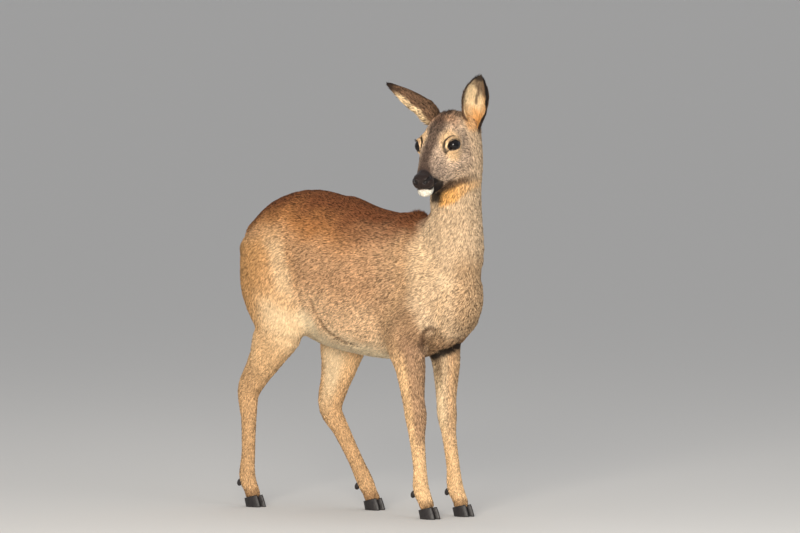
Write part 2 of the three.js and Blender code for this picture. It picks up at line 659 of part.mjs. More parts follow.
// Legs and hooves
const LEG_BOXES = { // corners, and the step down the limb, shorter where it slants
  foreleg_right: [point(120, -130, 4), point(340, -2, 640), 36],
  foreleg_left: [point(120, 2, 4), point(340, 130, 640), 36],
  hindleg_right: [point(-370, -150, 4), point(-20, -2, 720), 28],
  hindleg_left: [point(-370, 2, 4), point(60, 150, 720), 22],
};
for (const name of legNames) {
  const leg = LEGS[name];
  const [low, high, stepDown] = LEG_BOXES[name];
  const shankTop = name.startsWith("fore") ? 370 : 340;
  const lower = toSolid(facets(flesh, low, point(high.x, high.y, shankTop + 60), point(15, 14, stepDown)));
  const upper = toSolid(facets(flesh, point(low.x, low.y, shankTop - 60), high, point(30, 22, 33)));
  const seam = point(0, 0, shankTop);
  const whole = lower
    .intersect(beyond(seam, point(0, 0, -1)))
    .add(upper.intersect(beyond(seam, point(0, 0, 1))));
  const coronetPlane = beyond(leg.coronet, point(-0.24, 0, 1));
  const limb = allOf([whole, zones[name], coronetPlane]);
  const bare = [1, -1].reduce((solid, side) => solid.subtract(dewclawSolid(leg, side, CUT)), limb);
  addPart(name, bare, LEG_SKIN);
  for (const [label, side] of [["inner", -leg.sign], ["outer", leg.sign]]) {
    addPart(`hoof_${name}_${label}`, hoofSolid(leg, side), HORN);
    addPart(`dewclaw_${name}_${label}`, dewclawSolid(leg, side), HORN);
  }
}

// The origin is on the floor under the middle of the deer's box.
const box = new THREE.Box3().setFromObject(roe);
const middle = box.getCenter(new THREE.Vector3());
roe.position.set(-middle.x, -middle.y, -box.min.z);

export default roe;
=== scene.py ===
"""A roe deer doe in winter coat, life size, standing with her head turned to her right.

The body is worked out in millimetres in the deer's own axes: x forward along the trunk, y to her left, z up
and the hooves at z = 0. One soft field, of tubes and balls that melt into each other, gives the outline of
the coat's tips. The skin is that field sunk by the coat's depth, and the coat is tufts that grow from it.
"""

from math import cos, pi, prod, radians, sin

import bmesh
import bpy
import numpy as np
from mathutils import Matrix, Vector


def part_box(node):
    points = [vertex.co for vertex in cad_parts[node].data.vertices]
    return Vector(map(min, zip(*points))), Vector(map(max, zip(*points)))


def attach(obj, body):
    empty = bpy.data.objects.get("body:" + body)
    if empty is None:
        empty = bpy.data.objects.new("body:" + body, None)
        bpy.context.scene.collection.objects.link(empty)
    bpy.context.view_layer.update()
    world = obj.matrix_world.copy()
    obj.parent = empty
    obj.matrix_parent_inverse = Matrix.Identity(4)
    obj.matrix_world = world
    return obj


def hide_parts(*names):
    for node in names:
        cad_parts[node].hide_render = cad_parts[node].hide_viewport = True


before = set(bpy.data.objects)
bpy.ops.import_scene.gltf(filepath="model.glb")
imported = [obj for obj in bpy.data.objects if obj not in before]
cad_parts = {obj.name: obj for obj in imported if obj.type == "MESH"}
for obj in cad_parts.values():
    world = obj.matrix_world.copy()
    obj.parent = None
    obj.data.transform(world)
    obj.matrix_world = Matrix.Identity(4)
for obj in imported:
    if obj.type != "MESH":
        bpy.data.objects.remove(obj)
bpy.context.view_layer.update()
rng = np.random.default_rng(11)


def vec(*v):
    return np.array(v, float)


def unit(v):
    return v / np.maximum(np.linalg.norm(v, axis=-1, keepdims=True), 1e-12)


def smooth(low, high, v):
    """0 at low, 1 at high and smooth between, also where low is the larger of the two."""
    t = np.clip((v - low) / (high - low), 0, 1)
    return t * t * (3 - 2 * t)


def mix(a, b, share):
    return a + (b - a) * share


def tangent(v, normal):
    """Each vector without its part along the normal."""
    return v - normal * np.sum(v * normal, 1, keepdims=True)


# ---- Soft shapes: each is a function of points (rows of x, y, z) that gives roughly the distance to its
# surface, negative inside.

WIDEST_BLEND = 45


def ball(centre, a, b, c):
    radii = vec(a, b, c)

    def shape(p):
        q = (p - centre) / radii
        near = np.linalg.norm(q, axis=1)
        return near * (near - 1) / np.maximum(np.linalg.norm(q / radii, axis=1), 1e-9)

    return shape


def spline(points, share, power):
    """A Catmull-Rom curve at a share from 0 to 1: centripetal with a power of 0.25, uniform with 0."""
    points = np.array(points, float)
    spot = share * (len(points) - 1)
    i = min(int(spot), len(points) - 2)
    w = spot - i
    b, c = points[i], points[i + 1]
    a = points[i - 1] if i else 2 * b - c
    d = points[i + 2] if i + 2 < len(points) else 2 * c - b
    t0, t1, t2 = (max(float(v @ v) ** power, 1e-9) for v in (b - a, c - b, d - c))
    m1 = t1 * ((b - a) / t0 - (c - a) / (t0 + t1) + (c - b) / t1)
    m2 = t1 * ((c - b) / t1 - (d - b) / (t1 + t2) + (d - c) / t2)
    return b + w * m1 + w**2 * (3 * (c - b) - 2 * m1 - m2) + w**3 * (2 * (b - c) + m1 + m2)


class Tube:
    """A tube through stations (point, deep, side): half-widths along its depth and across it."""

    def __init__(self, stations, per_span=4):
        places = [s[0] for s in stations]
        sizes = [s[1:] for s in stations]
        count = (len(stations) - 1) * per_span
        self.path = np.array([spline(places, i / count, 0.25) for i in range(count + 1)])
        self.size = np.array([spline(sizes, i / count, 0) for i in range(count + 1)])
        self.low = np.min(places, axis=0) - np.max(sizes)
        self.high = np.max(places, axis=0) + np.max(sizes)

    def measure(self, p):
        """Each point's distance, its share of the way along, and its angle round the tube."""
        best = np.full(len(p), np.inf)
        place, angle = np.zeros(len(p)), np.zeros(len(p))
        for i, (a, b) in enumerate(zip(self.path[:-1], self.path[1:])):
            run = b - a
            along = unit(run)
            across = unit(vec(0, 1, 0) - along * along[1])
            depth = np.cross(along, across)
            v = p - a
            t = np.clip(v @ run / (run @ run), 0, 1)
            deep, side = (mix(self.size[i, k], self.size[i + 1, k], t) for k in (0, 1))
            end = np.minimum(deep, side)
            x, y, z = v @ along - t * (run @ along), v @ across, v @ depth
            near = np.sqrt((x / end) ** 2 + (y / side) ** 2 + (z / deep) ** 2)
            slope = np.sqrt((x / end**2) ** 2 + (y / side**2) ** 2 + (z / deep**2) ** 2)
            d = near * (near - 1) / np.maximum(slope, 1e-9)
            nearer = d < best
            best[nearer] = d[nearer]
            place[nearer] = (i + t[nearer]) / (len(self.path) - 1)
            angle[nearer] = np.arctan2(y, z)[nearer]
        return best, place, angle

    def __call__(self, p):
        away = np.linalg.norm(np.maximum(np.maximum(self.low - p, p - self.high), 0), axis=1)
        near = away <= WIDEST_BLEND
        if near.any():
            away[near] = self.measure(p[near])[0]
        return away

    def heading(self, place):
        """The tube's direction at each share of its way."""
        steps = unit(np.diff(self.path, axis=0))
        spot = place * len(steps) - 0.5
        i = np.clip(np.floor(spot).astype(int), 0, len(steps) - 2)
        return unit(mix(steps[i], steps[i + 1], np.clip(spot - i, 0, 1)[:, None]))


def melt(a, b, blend):
    """Joins two distances with a fillet about as wide as the blend."""
    h = np.maximum(blend - np.abs(a - b), 0) / blend
    return np.minimum(a, b) - h * h * blend / 4


def carve(a, b, blend):
    """Takes b out of a, with an edge about as round as the blend."""
    return -melt(-a, b, blend)


def valley(gap, width):
    """A smooth groove's share of its depth, at each distance from its middle."""
    return np.exp(-((gap / width) ** 2))


def melt_all(shapes):
    def field(p):
        d = np.full(len(p), 1e4)
        for shape, blend in shapes:
            d = melt(d, shape(p), blend)
        return d

    return field


# ---- The body, with the CAD model's own sizes

WITHERS, CROUP, BELLY = 698, 742, 357
RUMP_X, CHEST_X, HALF_WIDTH = -330, 362, 108
CORONET = 24
EYE_RADIUS = 16

TRUNK_LINE = [  # x, height of the back, height of the belly, half-width
    (RUMP_X + 62, CROUP - 58, 532, 70),
    (RUMP_X + 108, CROUP - 21, 488, 90),
    (RUMP_X + 172, CROUP, 446, 101),
    (-112, CROUP - 4, 412, HALF_WIDTH - 2),
    (-68, CROUP - 11, BELLY + 22, HALF_WIDTH),
    (20, WITHERS + 8, BELLY + 6, HALF_WIDTH + 2),
    (110, WITHERS - 5, BELLY, HALF_WIDTH - 4),
    (190, WITHERS - 8, BELLY + 6, 90),
    (250, WITHERS - 62, BELLY + 20, 76),
    (CHEST_X - 66, WITHERS - 108, BELLY + 54, 61),
]
trunk_tube = Tube([((x, 0, (top + low) / 2), (top - low) / 2, half) for x, top, low, half in TRUNK_LINE])
tail_tube = Tube([
    ((RUMP_X + 36, 0, 660), 18, 20),
    ((RUMP_X, 0, 641), 14, 16),
    ((RUMP_X - 12, 0, 605), 13, 14),
    ((RUMP_X - 14, 0, 565), 14, 14),
    ((RUMP_X - 12, 0, 542), 9, 9),
])
neck_tube = Tube([
    ((222, 0, 541), 122, 76),
    ((274, -1, 615), 94, 67),
    ((301, -7, 684), 62, 58),
    ((306, -13, 745), 59, 56),
    ((321, -15, 820), 53, 50),
    ((328, -22, 884), 48, 45),
])

FORE_BONES = {"pastern": 46, "cannon": 168, "forearm": 178, "upper arm": 118}
HIND_BONES = {"pastern": 46, "cannon": 200, "shank": 226, "thigh": 182}


def walk_up(x, y, bones, leans, drifts):
    """The joints of a leg from its coronet up. Each bone leans so many degrees forward."""
    stops = [vec(x, y, CORONET)]
    for length, lean, drift in zip(bones.values(), leans, drifts):
        turn = radians(lean)
        stops.append(stops[-1] + vec(length * sin(turn), drift, length * cos(turn)))
    return stops


class Leg:
    """A leg's lowest joints, its limb as a tube from the hoof up, and the shape that its flesh has."""

    def __init__(self, sign, joints, limb, extra, blend):
        self.sign, self.limb = sign, Tube(limb)
        self.coronet, self.fetlock = joints[:2]
        self.extra, self.blend = Tube(extra), blend

    def shape(self, p):
        # The flesh ends on the hooves, and a shallow groove runs up from the cleft between them.
        d = melt(self.limb(p), self.extra(p), self.blend)
        low = p[:, 2] < 90
        if low.any():
            q = p[low] - self.coronet
            floor = -(q[:, 2] + 3 - 0.24 * q[:, 0])
            cleft = np.maximum(np.abs(q[:, 1]) - 1.5 + 0.06 * q[:, 2], -d[low] - 4)
            d[low] = carve(np.maximum(d[low], floor), cleft, 3)
        return d


def foreleg(x, spread, sign, leans, girth):
    drifts = [0, 0, 13 * sign, 4 * sign]
    joints = walk_up(x, sign * spread, FORE_BONES, leans, drifts)
    coronet, fetlock, knee, elbow, shoulder = joints
    limb = [
        (mix(coronet, fetlock, -0.3), 18.5, 18.5),
        (mix(coronet, fetlock, 0.35), 16.5, 17),
        (fetlock + vec(-2, 0, 0), 19, 17.5),
        (mix(fetlock, knee, 0.3), 15.5, 14.5),
        (mix(fetlock, knee, 0.72), 18.5 * girth, 16.5 * girth),
        (knee + vec(2, 0, 0), 25 * girth, 22.5 * girth),
        (mix(knee, elbow, 0.22), 26 * girth, 23 * girth),
        (mix(knee, elbow, 0.65), 37 * girth, 30 * girth),
        (elbow + vec(-6, 0, 0), 50 * girth, 37),
        (mix(elbow, shoulder, 0.6) + vec(-6, 0, 0), 60, 38),
    ]
    blade = [
        (shoulder + vec(-8, -12 * sign, 4), 54, 38),
        (vec(x - 58, 48 * sign, WITHERS - 95), 56, 30),
    ]
    return Leg(sign, joints, limb, blade, blend=30)


def hindleg(x, spread, sign, leans, drifts, girth):
    joints = walk_up(x, sign * spread, HIND_BONES, leans, [0] + [sign * d for d in drifts])
    coronet, fetlock, hock, stifle, hip = joints
    limb = [
        (mix(coronet, fetlock, -0.3), 18.5, 18.5),
        (mix(coronet, fetlock, 0.35), 16.5, 17),
        (fetlock + vec(-2, 0, 0), 19.5, 17.5),
        (mix(fetlock, hock, 0.3), 16.5 * girth, 14.5),
        (mix(fetlock, hock, 0.72), 19.5 * girth, 16.5),
        (hock, 27 * girth, 21),
        (mix(hock, stifle, 0.24), 33 * girth, 23),
        (mix(hock, stifle, 0.42), 43 * girth, 29),
        (mix(hock, stifle, 0.64) + vec(-3, 0, 0), 56 * girth, 37),
        (mix(hock, stifle, 0.88) + vec(-6, 0, 0), 66, 44),
        (mix(stifle, hip, 0.35) + vec(-31, 0, 8), 80, 50),
        (mix(stifle, hip, 0.95) + vec(-12, 0, -6), 72, 44),
    ]
    tendon = [
        (mix(hock, fetlock, 0.2) + vec(-5, 0, 0), 11, 10),
        (mix(hock, stifle, 0.08) + vec(-24, 0, 4), 10, 10.5),
        (mix(hock, stifle, 0.45) + vec(-30, 0, -4), 16, 11),
    ]
    return Leg(sign, joints, limb, tendon, blend=14)


LEGS = {  # x and spread of the coronet, side, the bones' leans, a hind leg's drifts, and girth
    "foreleg_right": foreleg(258, 55, -1, [-23, -7, -4, 36], 1.03),
    "foreleg_left": foreleg(264, 55, 1, [-23, -10, -4, 34], 0.93),
    "hindleg_right": hindleg(-280, 60, -1, [-22, 2, 36, -19], [4, 16, -6], 0.98),
    "hindleg_left": hindleg(-12, 56, 1, [-28, -34, 12, -25], [2, 18, 0], 1.1),
}

# ---- The head, in its own frame: origin midway between the eyes, x to the nose along the palate, y to her
# left and z to the crown.

HEAD_AT = vec(330, -98, 854)
HEAD_TURN = np.array(
    Matrix.Rotation(radians(-73.5), 3, "Z")
    @ Matrix.Rotation(radians(25), 3, "Y")
    @ Matrix.Rotation(radians(3.3), 3, "X")
)
HEAD_MIDDLE = vec(5, 0, -15)
SIDES = (1, -1)


def on_head(q):
    return q @ HEAD_TURN.T + HEAD_AT


def into_head(p):
    return (p - HEAD_AT) @ HEAD_TURN


head_shapes = [
    (ball((-38, 0, 5), 60, 42, 42), 1),  # brain case
    (Tube([  # face, from the brow to the nose
        ((-20, 0, -3), 39, 41),
        ((18, 0, -9), 38, 37),
        ((52, 0, -19), 31.5, 29),
        ((84, 0, -30), 25, 23.5),
        ((104, 0, -35), 20.5, 21.5),
    ]), 22),
    (Tube([  # lower jaw
        ((-44, 0, -54), 38, 31),
        ((0, 0, -59), 33, 27),
        ((50, 0, -62), 21, 20),
        ((90, 0, -62), 13, 16),
    ]), 16),
    (ball((110, 0, -44), 14, 18, 12), 10),  # upper lip
    (ball((112, 0, -57), 15, 17, 12), 8),  # chin
    (ball((-62, 0, 24), 34, 32, 24), 20),  # crown
]
for s in SIDES:
    head_shapes += [
        (ball((-2, s * 36, 6), 28, 17, 18), 12),  # brow and eye rim
        (ball((-28, s * 29, -40), 46, 20, 42), 16),  # cheek
        (Tube([((8, s * 24, -32), 24, 18), ((58, s * 14.5, -42), 17, 14)]), 14),  # side of the face
        (ball((112, s * 11, -31), 13, 13.5, 13.5), 10),  # nostril wing
        (ball((-86, s * 32, -12), 15, 15, 17), 14),  # ear root
    ]
head_bulk = melt_all(head_shapes)

EYE_SEAT = {s: vec(4, s * 39.5, 4) for s in SIDES}
EYE_AXIS = {s: unit(vec(0.60, s * 0.74, 0.31)) for s in SIDES}
LID_WALL = 1.7  # the lids' thickness over the eyeball
OUT_OF_REACH = 9  # stands for the distance of a place that is on no lid and no crease
EYE_LEVEL = vec(1, 0, 0.36)
OPENING = (58, 40)  # half-angles of the opening between the lids, along the eye and across it


def eye_axes(s):
    """The eye's outward axis, the axis along its opening towards the nose, and the one across it."""
    out = EYE_AXIS[s]
    level = unit(EYE_LEVEL - out * (EYE_LEVEL @ out))
    upward = np.cross(level, out) * s
    return out, level, upward


def eye_angles(q, s):
    """Distance from the eye's centre, and the angles along and across its opening, in degrees."""
    out, level, upward = eye_axes(s)
    v = q - EYE_SEAT[s]
    r = np.linalg.norm(v, axis=1)
    x, y, z = v @ out, v @ level, v @ upward
    turn = np.degrees(np.arccos(np.clip(x / np.maximum(r, 1e-9), -1, 1)))
    flat = np.maximum(np.hypot(y, z), 1e-9)
    return r, turn * y / flat, turn * z / flat


def opening_rim(along, across):
    """1 on the rim of the opening between the lids, less inside it. The front corner is drawn out."""
    across = across + 2 + 6 * smooth(20, 70, along)
    return (np.abs((along - 3) / OPENING[0]) ** 2.1 + np.abs(across / OPENING[1]) ** 2.1) ** (1 / 2.1)


def mouth_line(x):
    """Height of the line between the lips at each x, from the front of the mouth to its corner."""
    return np.interp(x, [60, 85, 103, 118, 128], [-56.5, -50.5, -47, -47.5, -46])


def crease(r, along, across):
    """Distance from the fold of skin round the eye's upper and front side, and how much of it shows."""
    way = np.degrees(np.arctan2(across, along))
    turn = np.interp(way, [-30, -15, -4, 10, 27, 46, 90, 115], [67.8, 67.6, 69, 71.7, 75.5, 76.4, 78.3, 80])
    fade = smooth(-50, -32, way) * smooth(136, 104, way) * smooth(44, 38, r)
    return r * np.radians(np.abs(np.hypot(along, across) - turn)), fade


NOSTRIL = {s: melt_all([
    (ball((121, s * 11.5, -29), 8, 5.4, 4.8), 1),
    (ball((115, s * 18, -24.5), 7, 5.6, 3.6), 5),
    (ball((110, s * 23, -21.5), 6, 4.4, 2.4), 4),
]) for s in SIDES}
ORBIT = {s: Tube([  # the shallow hollows above and before the eye
    ((1, s * 60.5, 5), 12, 13.5),
    ((28, s * 49.5, 4), 11, 13),
]) for s in SIDES}


def head_shape(p):
    """The head's flesh, with its eye openings, lids, nostrils, mouth and folds."""
    q = into_head(p)
    away = np.maximum(np.linalg.norm(q - HEAD_MIDDLE, axis=1) - 170, 0)
    d = away + 60
    near = away <= 0
    q = q[near]
    h = head_bulk(q)
    for s in SIDES:
        h = carve(h, ORBIT[s](q), 5)
        r, along, across = eye_angles(q, s)
        rim = opening_rim(along, across)
        h = melt(h, r - EYE_RADIUS - LID_WALL, 6)
        hole = np.maximum((rim - 1) * 12, EYE_RADIUS - 2.5 - r)
        h = carve(h, np.where(r < 40, hole, 60), 1.0)
        gap, fade = crease(r, along, across)
        h = h + 2.4 * fade * valley(gap, 1.6)
        h = h + 4.2 * smooth(1.4, -3, NOSTRIL[s](q))
    lips = valley(q[:, 2] - mouth_line(q[:, 0]), 1.5) * smooth(60, 66, q[:, 0])
    cleft = valley(q[:, 1], 1.0) * smooth(-28, -34, q[:, 2]) * smooth(-50, -47, q[:, 2])
    h = h + np.where(np.abs(h) < 12, 3 * lips + 1.3 * cleft, 0)
    d[near] = h
    return d


TUBES = {"trunk": trunk_tube, "neck": neck_tube, "tail": tail_tube} | {n: leg.limb for n, leg in LEGS.items()}
PART_SHAPES = {"trunk": trunk_tube, "neck": neck_tube, "tail": tail_tube, "head": head_shape}
PART_SHAPES |= {name: leg.shape for name, leg in LEGS.items()}
PARTS = list(PART_SHAPES)
body = melt_all([
    (trunk_tube, 1),
    *[(leg.shape, 26) for leg in LEGS.values()],
    (neck_tube, 9),
    (tail_tube, 10),
    (head_shape, 20),
])

FOLD_LINES = {  # x, y, z and radius along each fold
    "flank": [(-62, 101, 488, 1), (-49, 94, 456, 2), (-33, 77, 419, 2), (10, 63, 395, 2), (51, 57, 384, 1)],
    "armpit": [(294, 46, 424, 1), (291, 80, 438, 2), (274, 87, 423, 2), (258, 70, 402, 2), (232, 34, 384, 1)],
    "brisket": [
        (188, 33, 361, 2),
        (212, 30, 369, 3),
        (229, 40, 379, 4),
        (240, 59, 388, 4),
        (238, 82, 392, 3),
    ],
}
FOLDS = {
    name: [Tube([((x, s * y, z), size, size) for x, y, z, size in line]) for s in SIDES]
    for name, line in FOLD_LINES.items()
}


def fold_gap(p, name):
    return np.min([fold(p) for fold in FOLDS[name]], axis=0)


def outline(p):
    """The outline of the coat's tips."""
    d = body(p)
    for name in FOLDS:
        d = d + 5 * valley(np.maximum(fold_gap(p, name), 0), 4)
    return d


# The frame's origin is the middle of the CAD model's box, so the eye's node tells where it lies.
corner_low, corner_high = (np.array(c) * 1000 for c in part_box("eye_left"))
SHIFT = (corner_low + corner_high) / 2 - on_head(EYE_SEAT[1])
SHIFT[2] = 0


def to_frame(p):
    return (p + SHIFT) / 1000


def from_frame(p):
    return p * 1000 - SHIFT


# ---- What grows where: each point's shares of the body's parts, and from those its coat and markings


def slopes(field, p, step=0.4):
    """The field's value and gradient at each point."""
    d = field(p)
    moved = [field(p + step * axis) for axis in np.eye(3)]
    return d, (np.stack(moved, 1) - d[:, None]) / step


def noise(p, size, seed):
    """Smooth waves from -1 to 1, about so many millimetres long."""
    ways = np.random.default_rng(seed)
    total = np.zeros(len(p))
    for _ in range(7):
        wave = unit(ways.normal(size=3)) * 2 * pi / (size * ways.uniform(0.7, 1.6))
        total += np.sin(p @ wave + ways.uniform(0, 2 * pi))
    return np.clip(total / 3.2, -1, 1)


class Places:
    """Points on the body, with all that the coat and the markings are worked out from."""

    def __init__(self, p):
        self.p = p
        self.x, self.y, self.z = p.T
        self.gap = {name: PART_SHAPES[name](p) for name in PARTS}
        nearest = np.min(list(self.gap.values()), axis=0)
        weight = {name: np.exp(-(d - nearest) / 9) for name, d in self.gap.items()}
        whole = sum(weight.values())
        self.share = {name: w / whole for name, w in weight.items()}
        self.head = into_head(p)
        self.neck_place = neck_tube.measure(p)[1]
        self.leg_place = {name: leg.limb.measure(p)[1] for name, leg in LEGS.items()}
        self.mouth = self.head[:, 2] - mouth_line(self.head[:, 0])
        self.eye = np.min([np.linalg.norm(self.head - EYE_SEAT[s], axis=1) for s in SIDES], axis=0)
        self.nostril = np.min([NOSTRIL[s](self.head) for s in SIDES], axis=0)
        self.rim, self.crease = np.full((2, len(p)), float(OUT_OF_REACH))
        for s in SIDES:
            r, along, across = eye_angles(self.head, s)
            self.rim = np.minimum(self.rim, np.where(r < 30, opening_rim(along, across), OUT_OF_REACH))
            gap, fade = crease(r, along, across)
            gap = gap + OUT_OF_REACH * (1 - fade)
            self.crease = np.minimum(self.crease, np.where(r < 45, gap, OUT_OF_REACH))
        self.fold = {name: fold_gap(p, name) for name in FOLDS}
        self.mane = np.exp(-(((self.x - 186) / 15) ** 2) - (self.y / 26) ** 2) * smooth(640, 670, self.z)
        x, _, z = self.head.T
        self.pad = self.share["head"] * smooth(98, 103, x + 0.28 * (z + 20)) * smooth(-1, 1, self.mouth)

    def bare(self):
        """1 on the nose, the lids' rims and the lips, where no hair grows."""
        lids = 1 - smooth(1.12, 1.2, self.rim)
        lips = self.share["head"] * (1 - smooth(1.2, 2.2, np.abs(self.mouth + 0.5)))
        lips *= smooth(64, 68, self.head[:, 0])
        return np.clip(self.pad + lids + lips, 0, 1)

    def along_leg(self, low, high):
        """How far up its leg each point has come, from 0 at low to 1 at high: shares of the leg's tube."""
        return sum(self.share[n] * smooth(low, high, self.leg_place[n]) for n in LEGS)

    def legs(self):
        return sum(self.share[n] for n in LEGS)

    def coat(self):
        """Length, width and lift of the tufts, in millimetres, and how many grow on 100 mm²."""
        legs, head = self.legs(), self.share["head"]
        upper = self.along_leg(0.35, 0.85)
        q = self.head
        face = head * smooth(-70, 60, q[:, 0])
        rear = smooth(-250, -320, self.x) * smooth(430, 520, self.z)
        under = self.share["trunk"] * smooth(430, 380, self.z)
        length = 9 + 8 * rear + 4 * under - 2.6 * legs * (1 - upper) - 1.5 * head - 2.6 * face
        length = np.where(self.z < 60, np.minimum(length, 7 + 4 * smooth(40, 25, self.z)), length)
        nape = head * smooth(-58, -72, q[:, 0]) * smooth(25, 40, q[:, 2])
        lids = head * smooth(38, 26, self.eye)
        tuft = np.linalg.norm(np.stack([self.x + 326, np.abs(self.y) - 50, self.z - 548], 1), axis=1)
        flare = smooth(32, 12, tuft)
        shorter = np.maximum(smooth(14, 4, self.fold["brisket"]), 0.7 * smooth(12, 3, self.fold["armpit"]))
        length = (length + 6 * nape + 9 * self.mane + 5 * flare) * (1 - 0.5 * lids) * (1 - 0.5 * shorter)
        width = 1.15 + 0.1 * length - 0.35 * head - 0.2 * lids
        smoothed = 1 - 0.7 * self.share["tail"] * smooth(610, 640, self.z)
        lift = (0.3 * length - 0.4) * smoothed + 4 * nape + 9 * self.mane + 9 * flare
        count = 48 + 32 * face + 10 * head - 6 * under + 40 * lids
        return length, width, np.maximum(lift, 0.7), count

    def depth(self):
        """How far the skin lies inside the outline."""
        lift = np.minimum(self.coat()[2], 5)
        return np.where(self.share["head"] > 0.5, 0.75, 0.95) * lift * (1 - self.bare())

    def lie(self, normal):
        """The way that the hair points."""
        trunk = vec(-1, 0, -0.12) + np.zeros_like(self.p)
        trunk[:, 2] -= 0.45 * smooth(690, 560, self.z)
        neck = -neck_tube.heading(self.neck_place) + vec(-0.25, 0, 0)
        tail = vec(-0.35, 0, -1) + np.zeros_like(self.p)
        out = np.zeros_like(self.p)
        for s in SIDES:
            beside = smooth(45, 20, np.linalg.norm(self.head - EYE_SEAT[s], axis=1))[:, None]
            out += beside * unit(self.head - EYE_SEAT[s]) * 1.6
        side = np.sign(self.head[:, 1])
        low = smooth(10, -50, self.head[:, 2])
        head = np.stack([-np.ones_like(side), 0.25 * side, 0.15 - 0.55 * low], 1) + out
        ways = {"trunk": trunk, "neck": neck, "tail": tail}
        flow = sum(self.share[name][:, None] * unit(way) for name, way in ways.items())
        flow += self.share["head"][:, None] * unit(head) @ HEAD_TURN.T
        for name, leg in LEGS.items():
            down = -leg.limb.heading(self.leg_place[name])
            down[:, 0] -= 0.3 + 0.5 * smooth(0.7, 1, self.leg_place[name])
            flow += self.share[name][:, None] * unit(down)
        return unit(tangent(flow, normal))


# ---- Markings


def paint(red, green, blue):
    """A colour as it looks, from 0 to 255, made linear."""
    c = vec(red, green, blue) / 255
    return np.where(c < 0.04045, c / 12.92, ((c + 0.055) / 1.055) ** 2.4)


BACK = paint(124, 76, 47)
CROUP_TAN = paint(196, 137, 82)
FLANK = paint(200, 157, 117)
FLANK_PALE = paint(234, 195, 153)
HAUNCH = paint(198, 150, 98)
CREAM = paint(246, 224, 186)
SAND = paint(210, 180, 145)
CHEST = paint(184, 149, 111)
SHOULDER = paint(184, 147, 111)
LEG_TAN = paint(242, 199, 148)
HIND_TAN = paint(214, 171, 124)
LEG_BROWN = paint(146, 112, 88)
WHITE = paint(240, 232, 214)
# painted shade colours: the crease of the flank fold, the armpit's fold and the far foreleg's shaded inner
# edge
FOLD_SHADE_BROWN = paint(120, 84, 52)
SHADE_DARK = paint(82, 54, 36)
CHEEK = paint(224, 193, 163)
CHEEK_GREY = paint(124, 106, 95)
FOREHEAD = paint(184, 140, 106)
FACE_DARK = paint(70, 52, 45)
JAW_SHADE = paint(84, 56, 34)
RING = paint(244, 203, 154)
THROAT = paint(228, 170, 98)
BLACK = paint(28, 23, 22)
HOOF_HAIR = paint(150, 112, 76)
NOSE = paint(33, 21, 16)
EAR_BROWN = paint(110, 83, 62)
EAR_DARK = paint(88, 66, 52)
EAR_CREAM = paint(240, 208, 162)
EAR_ORANGE = paint(226, 160, 90)
EYE_RIM = paint(18, 12, 10)
IRIS = paint(15, 10, 8)
PUPIL = paint(6, 5, 6)


class Layers:
    """A colour at each point, built up layer by layer."""

    def __init__(self, base, count):
        self.colour = np.tile(base, (count, 1))

    def lay(self, colour, *shares):
        """Covers the points with a colour, by the product of the shares."""
        share = np.clip(prod(shares), 0, 1)[:, None]
        self.colour = self.colour * (1 - share) + colour * share


def paint_trunk(lay, at, wave):
    """Dark along the back, cream below, yellower over the haunch, sandy on the shoulder, neck and chest, with
    painted shade in the flank fold and the armpit.
    """
    x, z, neck = at.x, at.z, at.share["neck"]
    stations, tops, lows, _ = zip(*TRUNK_LINE)
    top, low = np.interp(x, stations, tops), np.interp(x, stations, lows)
    height = (z - low) / (top - low) + 0.03 * wave
    lay(FLANK_PALE, smooth(0.5, 0.2, height))
    lay(HAUNCH, smooth(-60, -230, x), smooth(0.75, 0.5, height))
    lay(CROUP_TAN, smooth(0.58, 0.84, height), smooth(150, -60, x))
    lay(BACK, smooth(0.70, 0.97, height))
    lay(CREAM, smooth(0.2, 0.03, height), smooth(-230, -150, x), smooth(240, 180, x))
    band = np.abs(x + 165 - 0.375 * (602 - z))
    lay(CREAM, 0.42, smooth(34, 0, band + 6 * wave), smooth(470, 520, z), smooth(650, 605, z))
    groin = np.hypot((x + 98) / 38, (z - 426) / 46)
    lay(CREAM, 0.9, smooth(1.3, 0.5, groin))
    # painted shade: a dark line in the crease of the flank fold
    lay(FOLD_SHADE_BROWN, smooth(8, 1, at.fold["flank"]), 0.75)
    lay(SHOULDER, smooth(110, 170, x), smooth(0.95, 0.6, height), 1 - neck)
    edge = np.interp(z, [434, 502, 569, 648, 700], [278, 250, 227, 224, 236])
    lay(SAND, smooth(edge - 20, edge + 20, x + 9 * wave), smooth(395, 430, z))
    lay(SAND, smooth(0.4, 0.9, neck))
    lay(CHEST, smooth(300, 340, x + 0.25 * at.y), smooth(640, 560, z), smooth(380, 420, z), 0.8)
    lay(BACK, neck, smooth(0.55, 0.95, np.cos(neck_tube.measure(at.p)[2])), 0.8)
    lay(BACK, at.mane, 0.9)
    # painted shade: dark in the fold of the armpit
    lay(SHADE_DARK, smooth(7, 2, at.fold["armpit"]), 0.85)


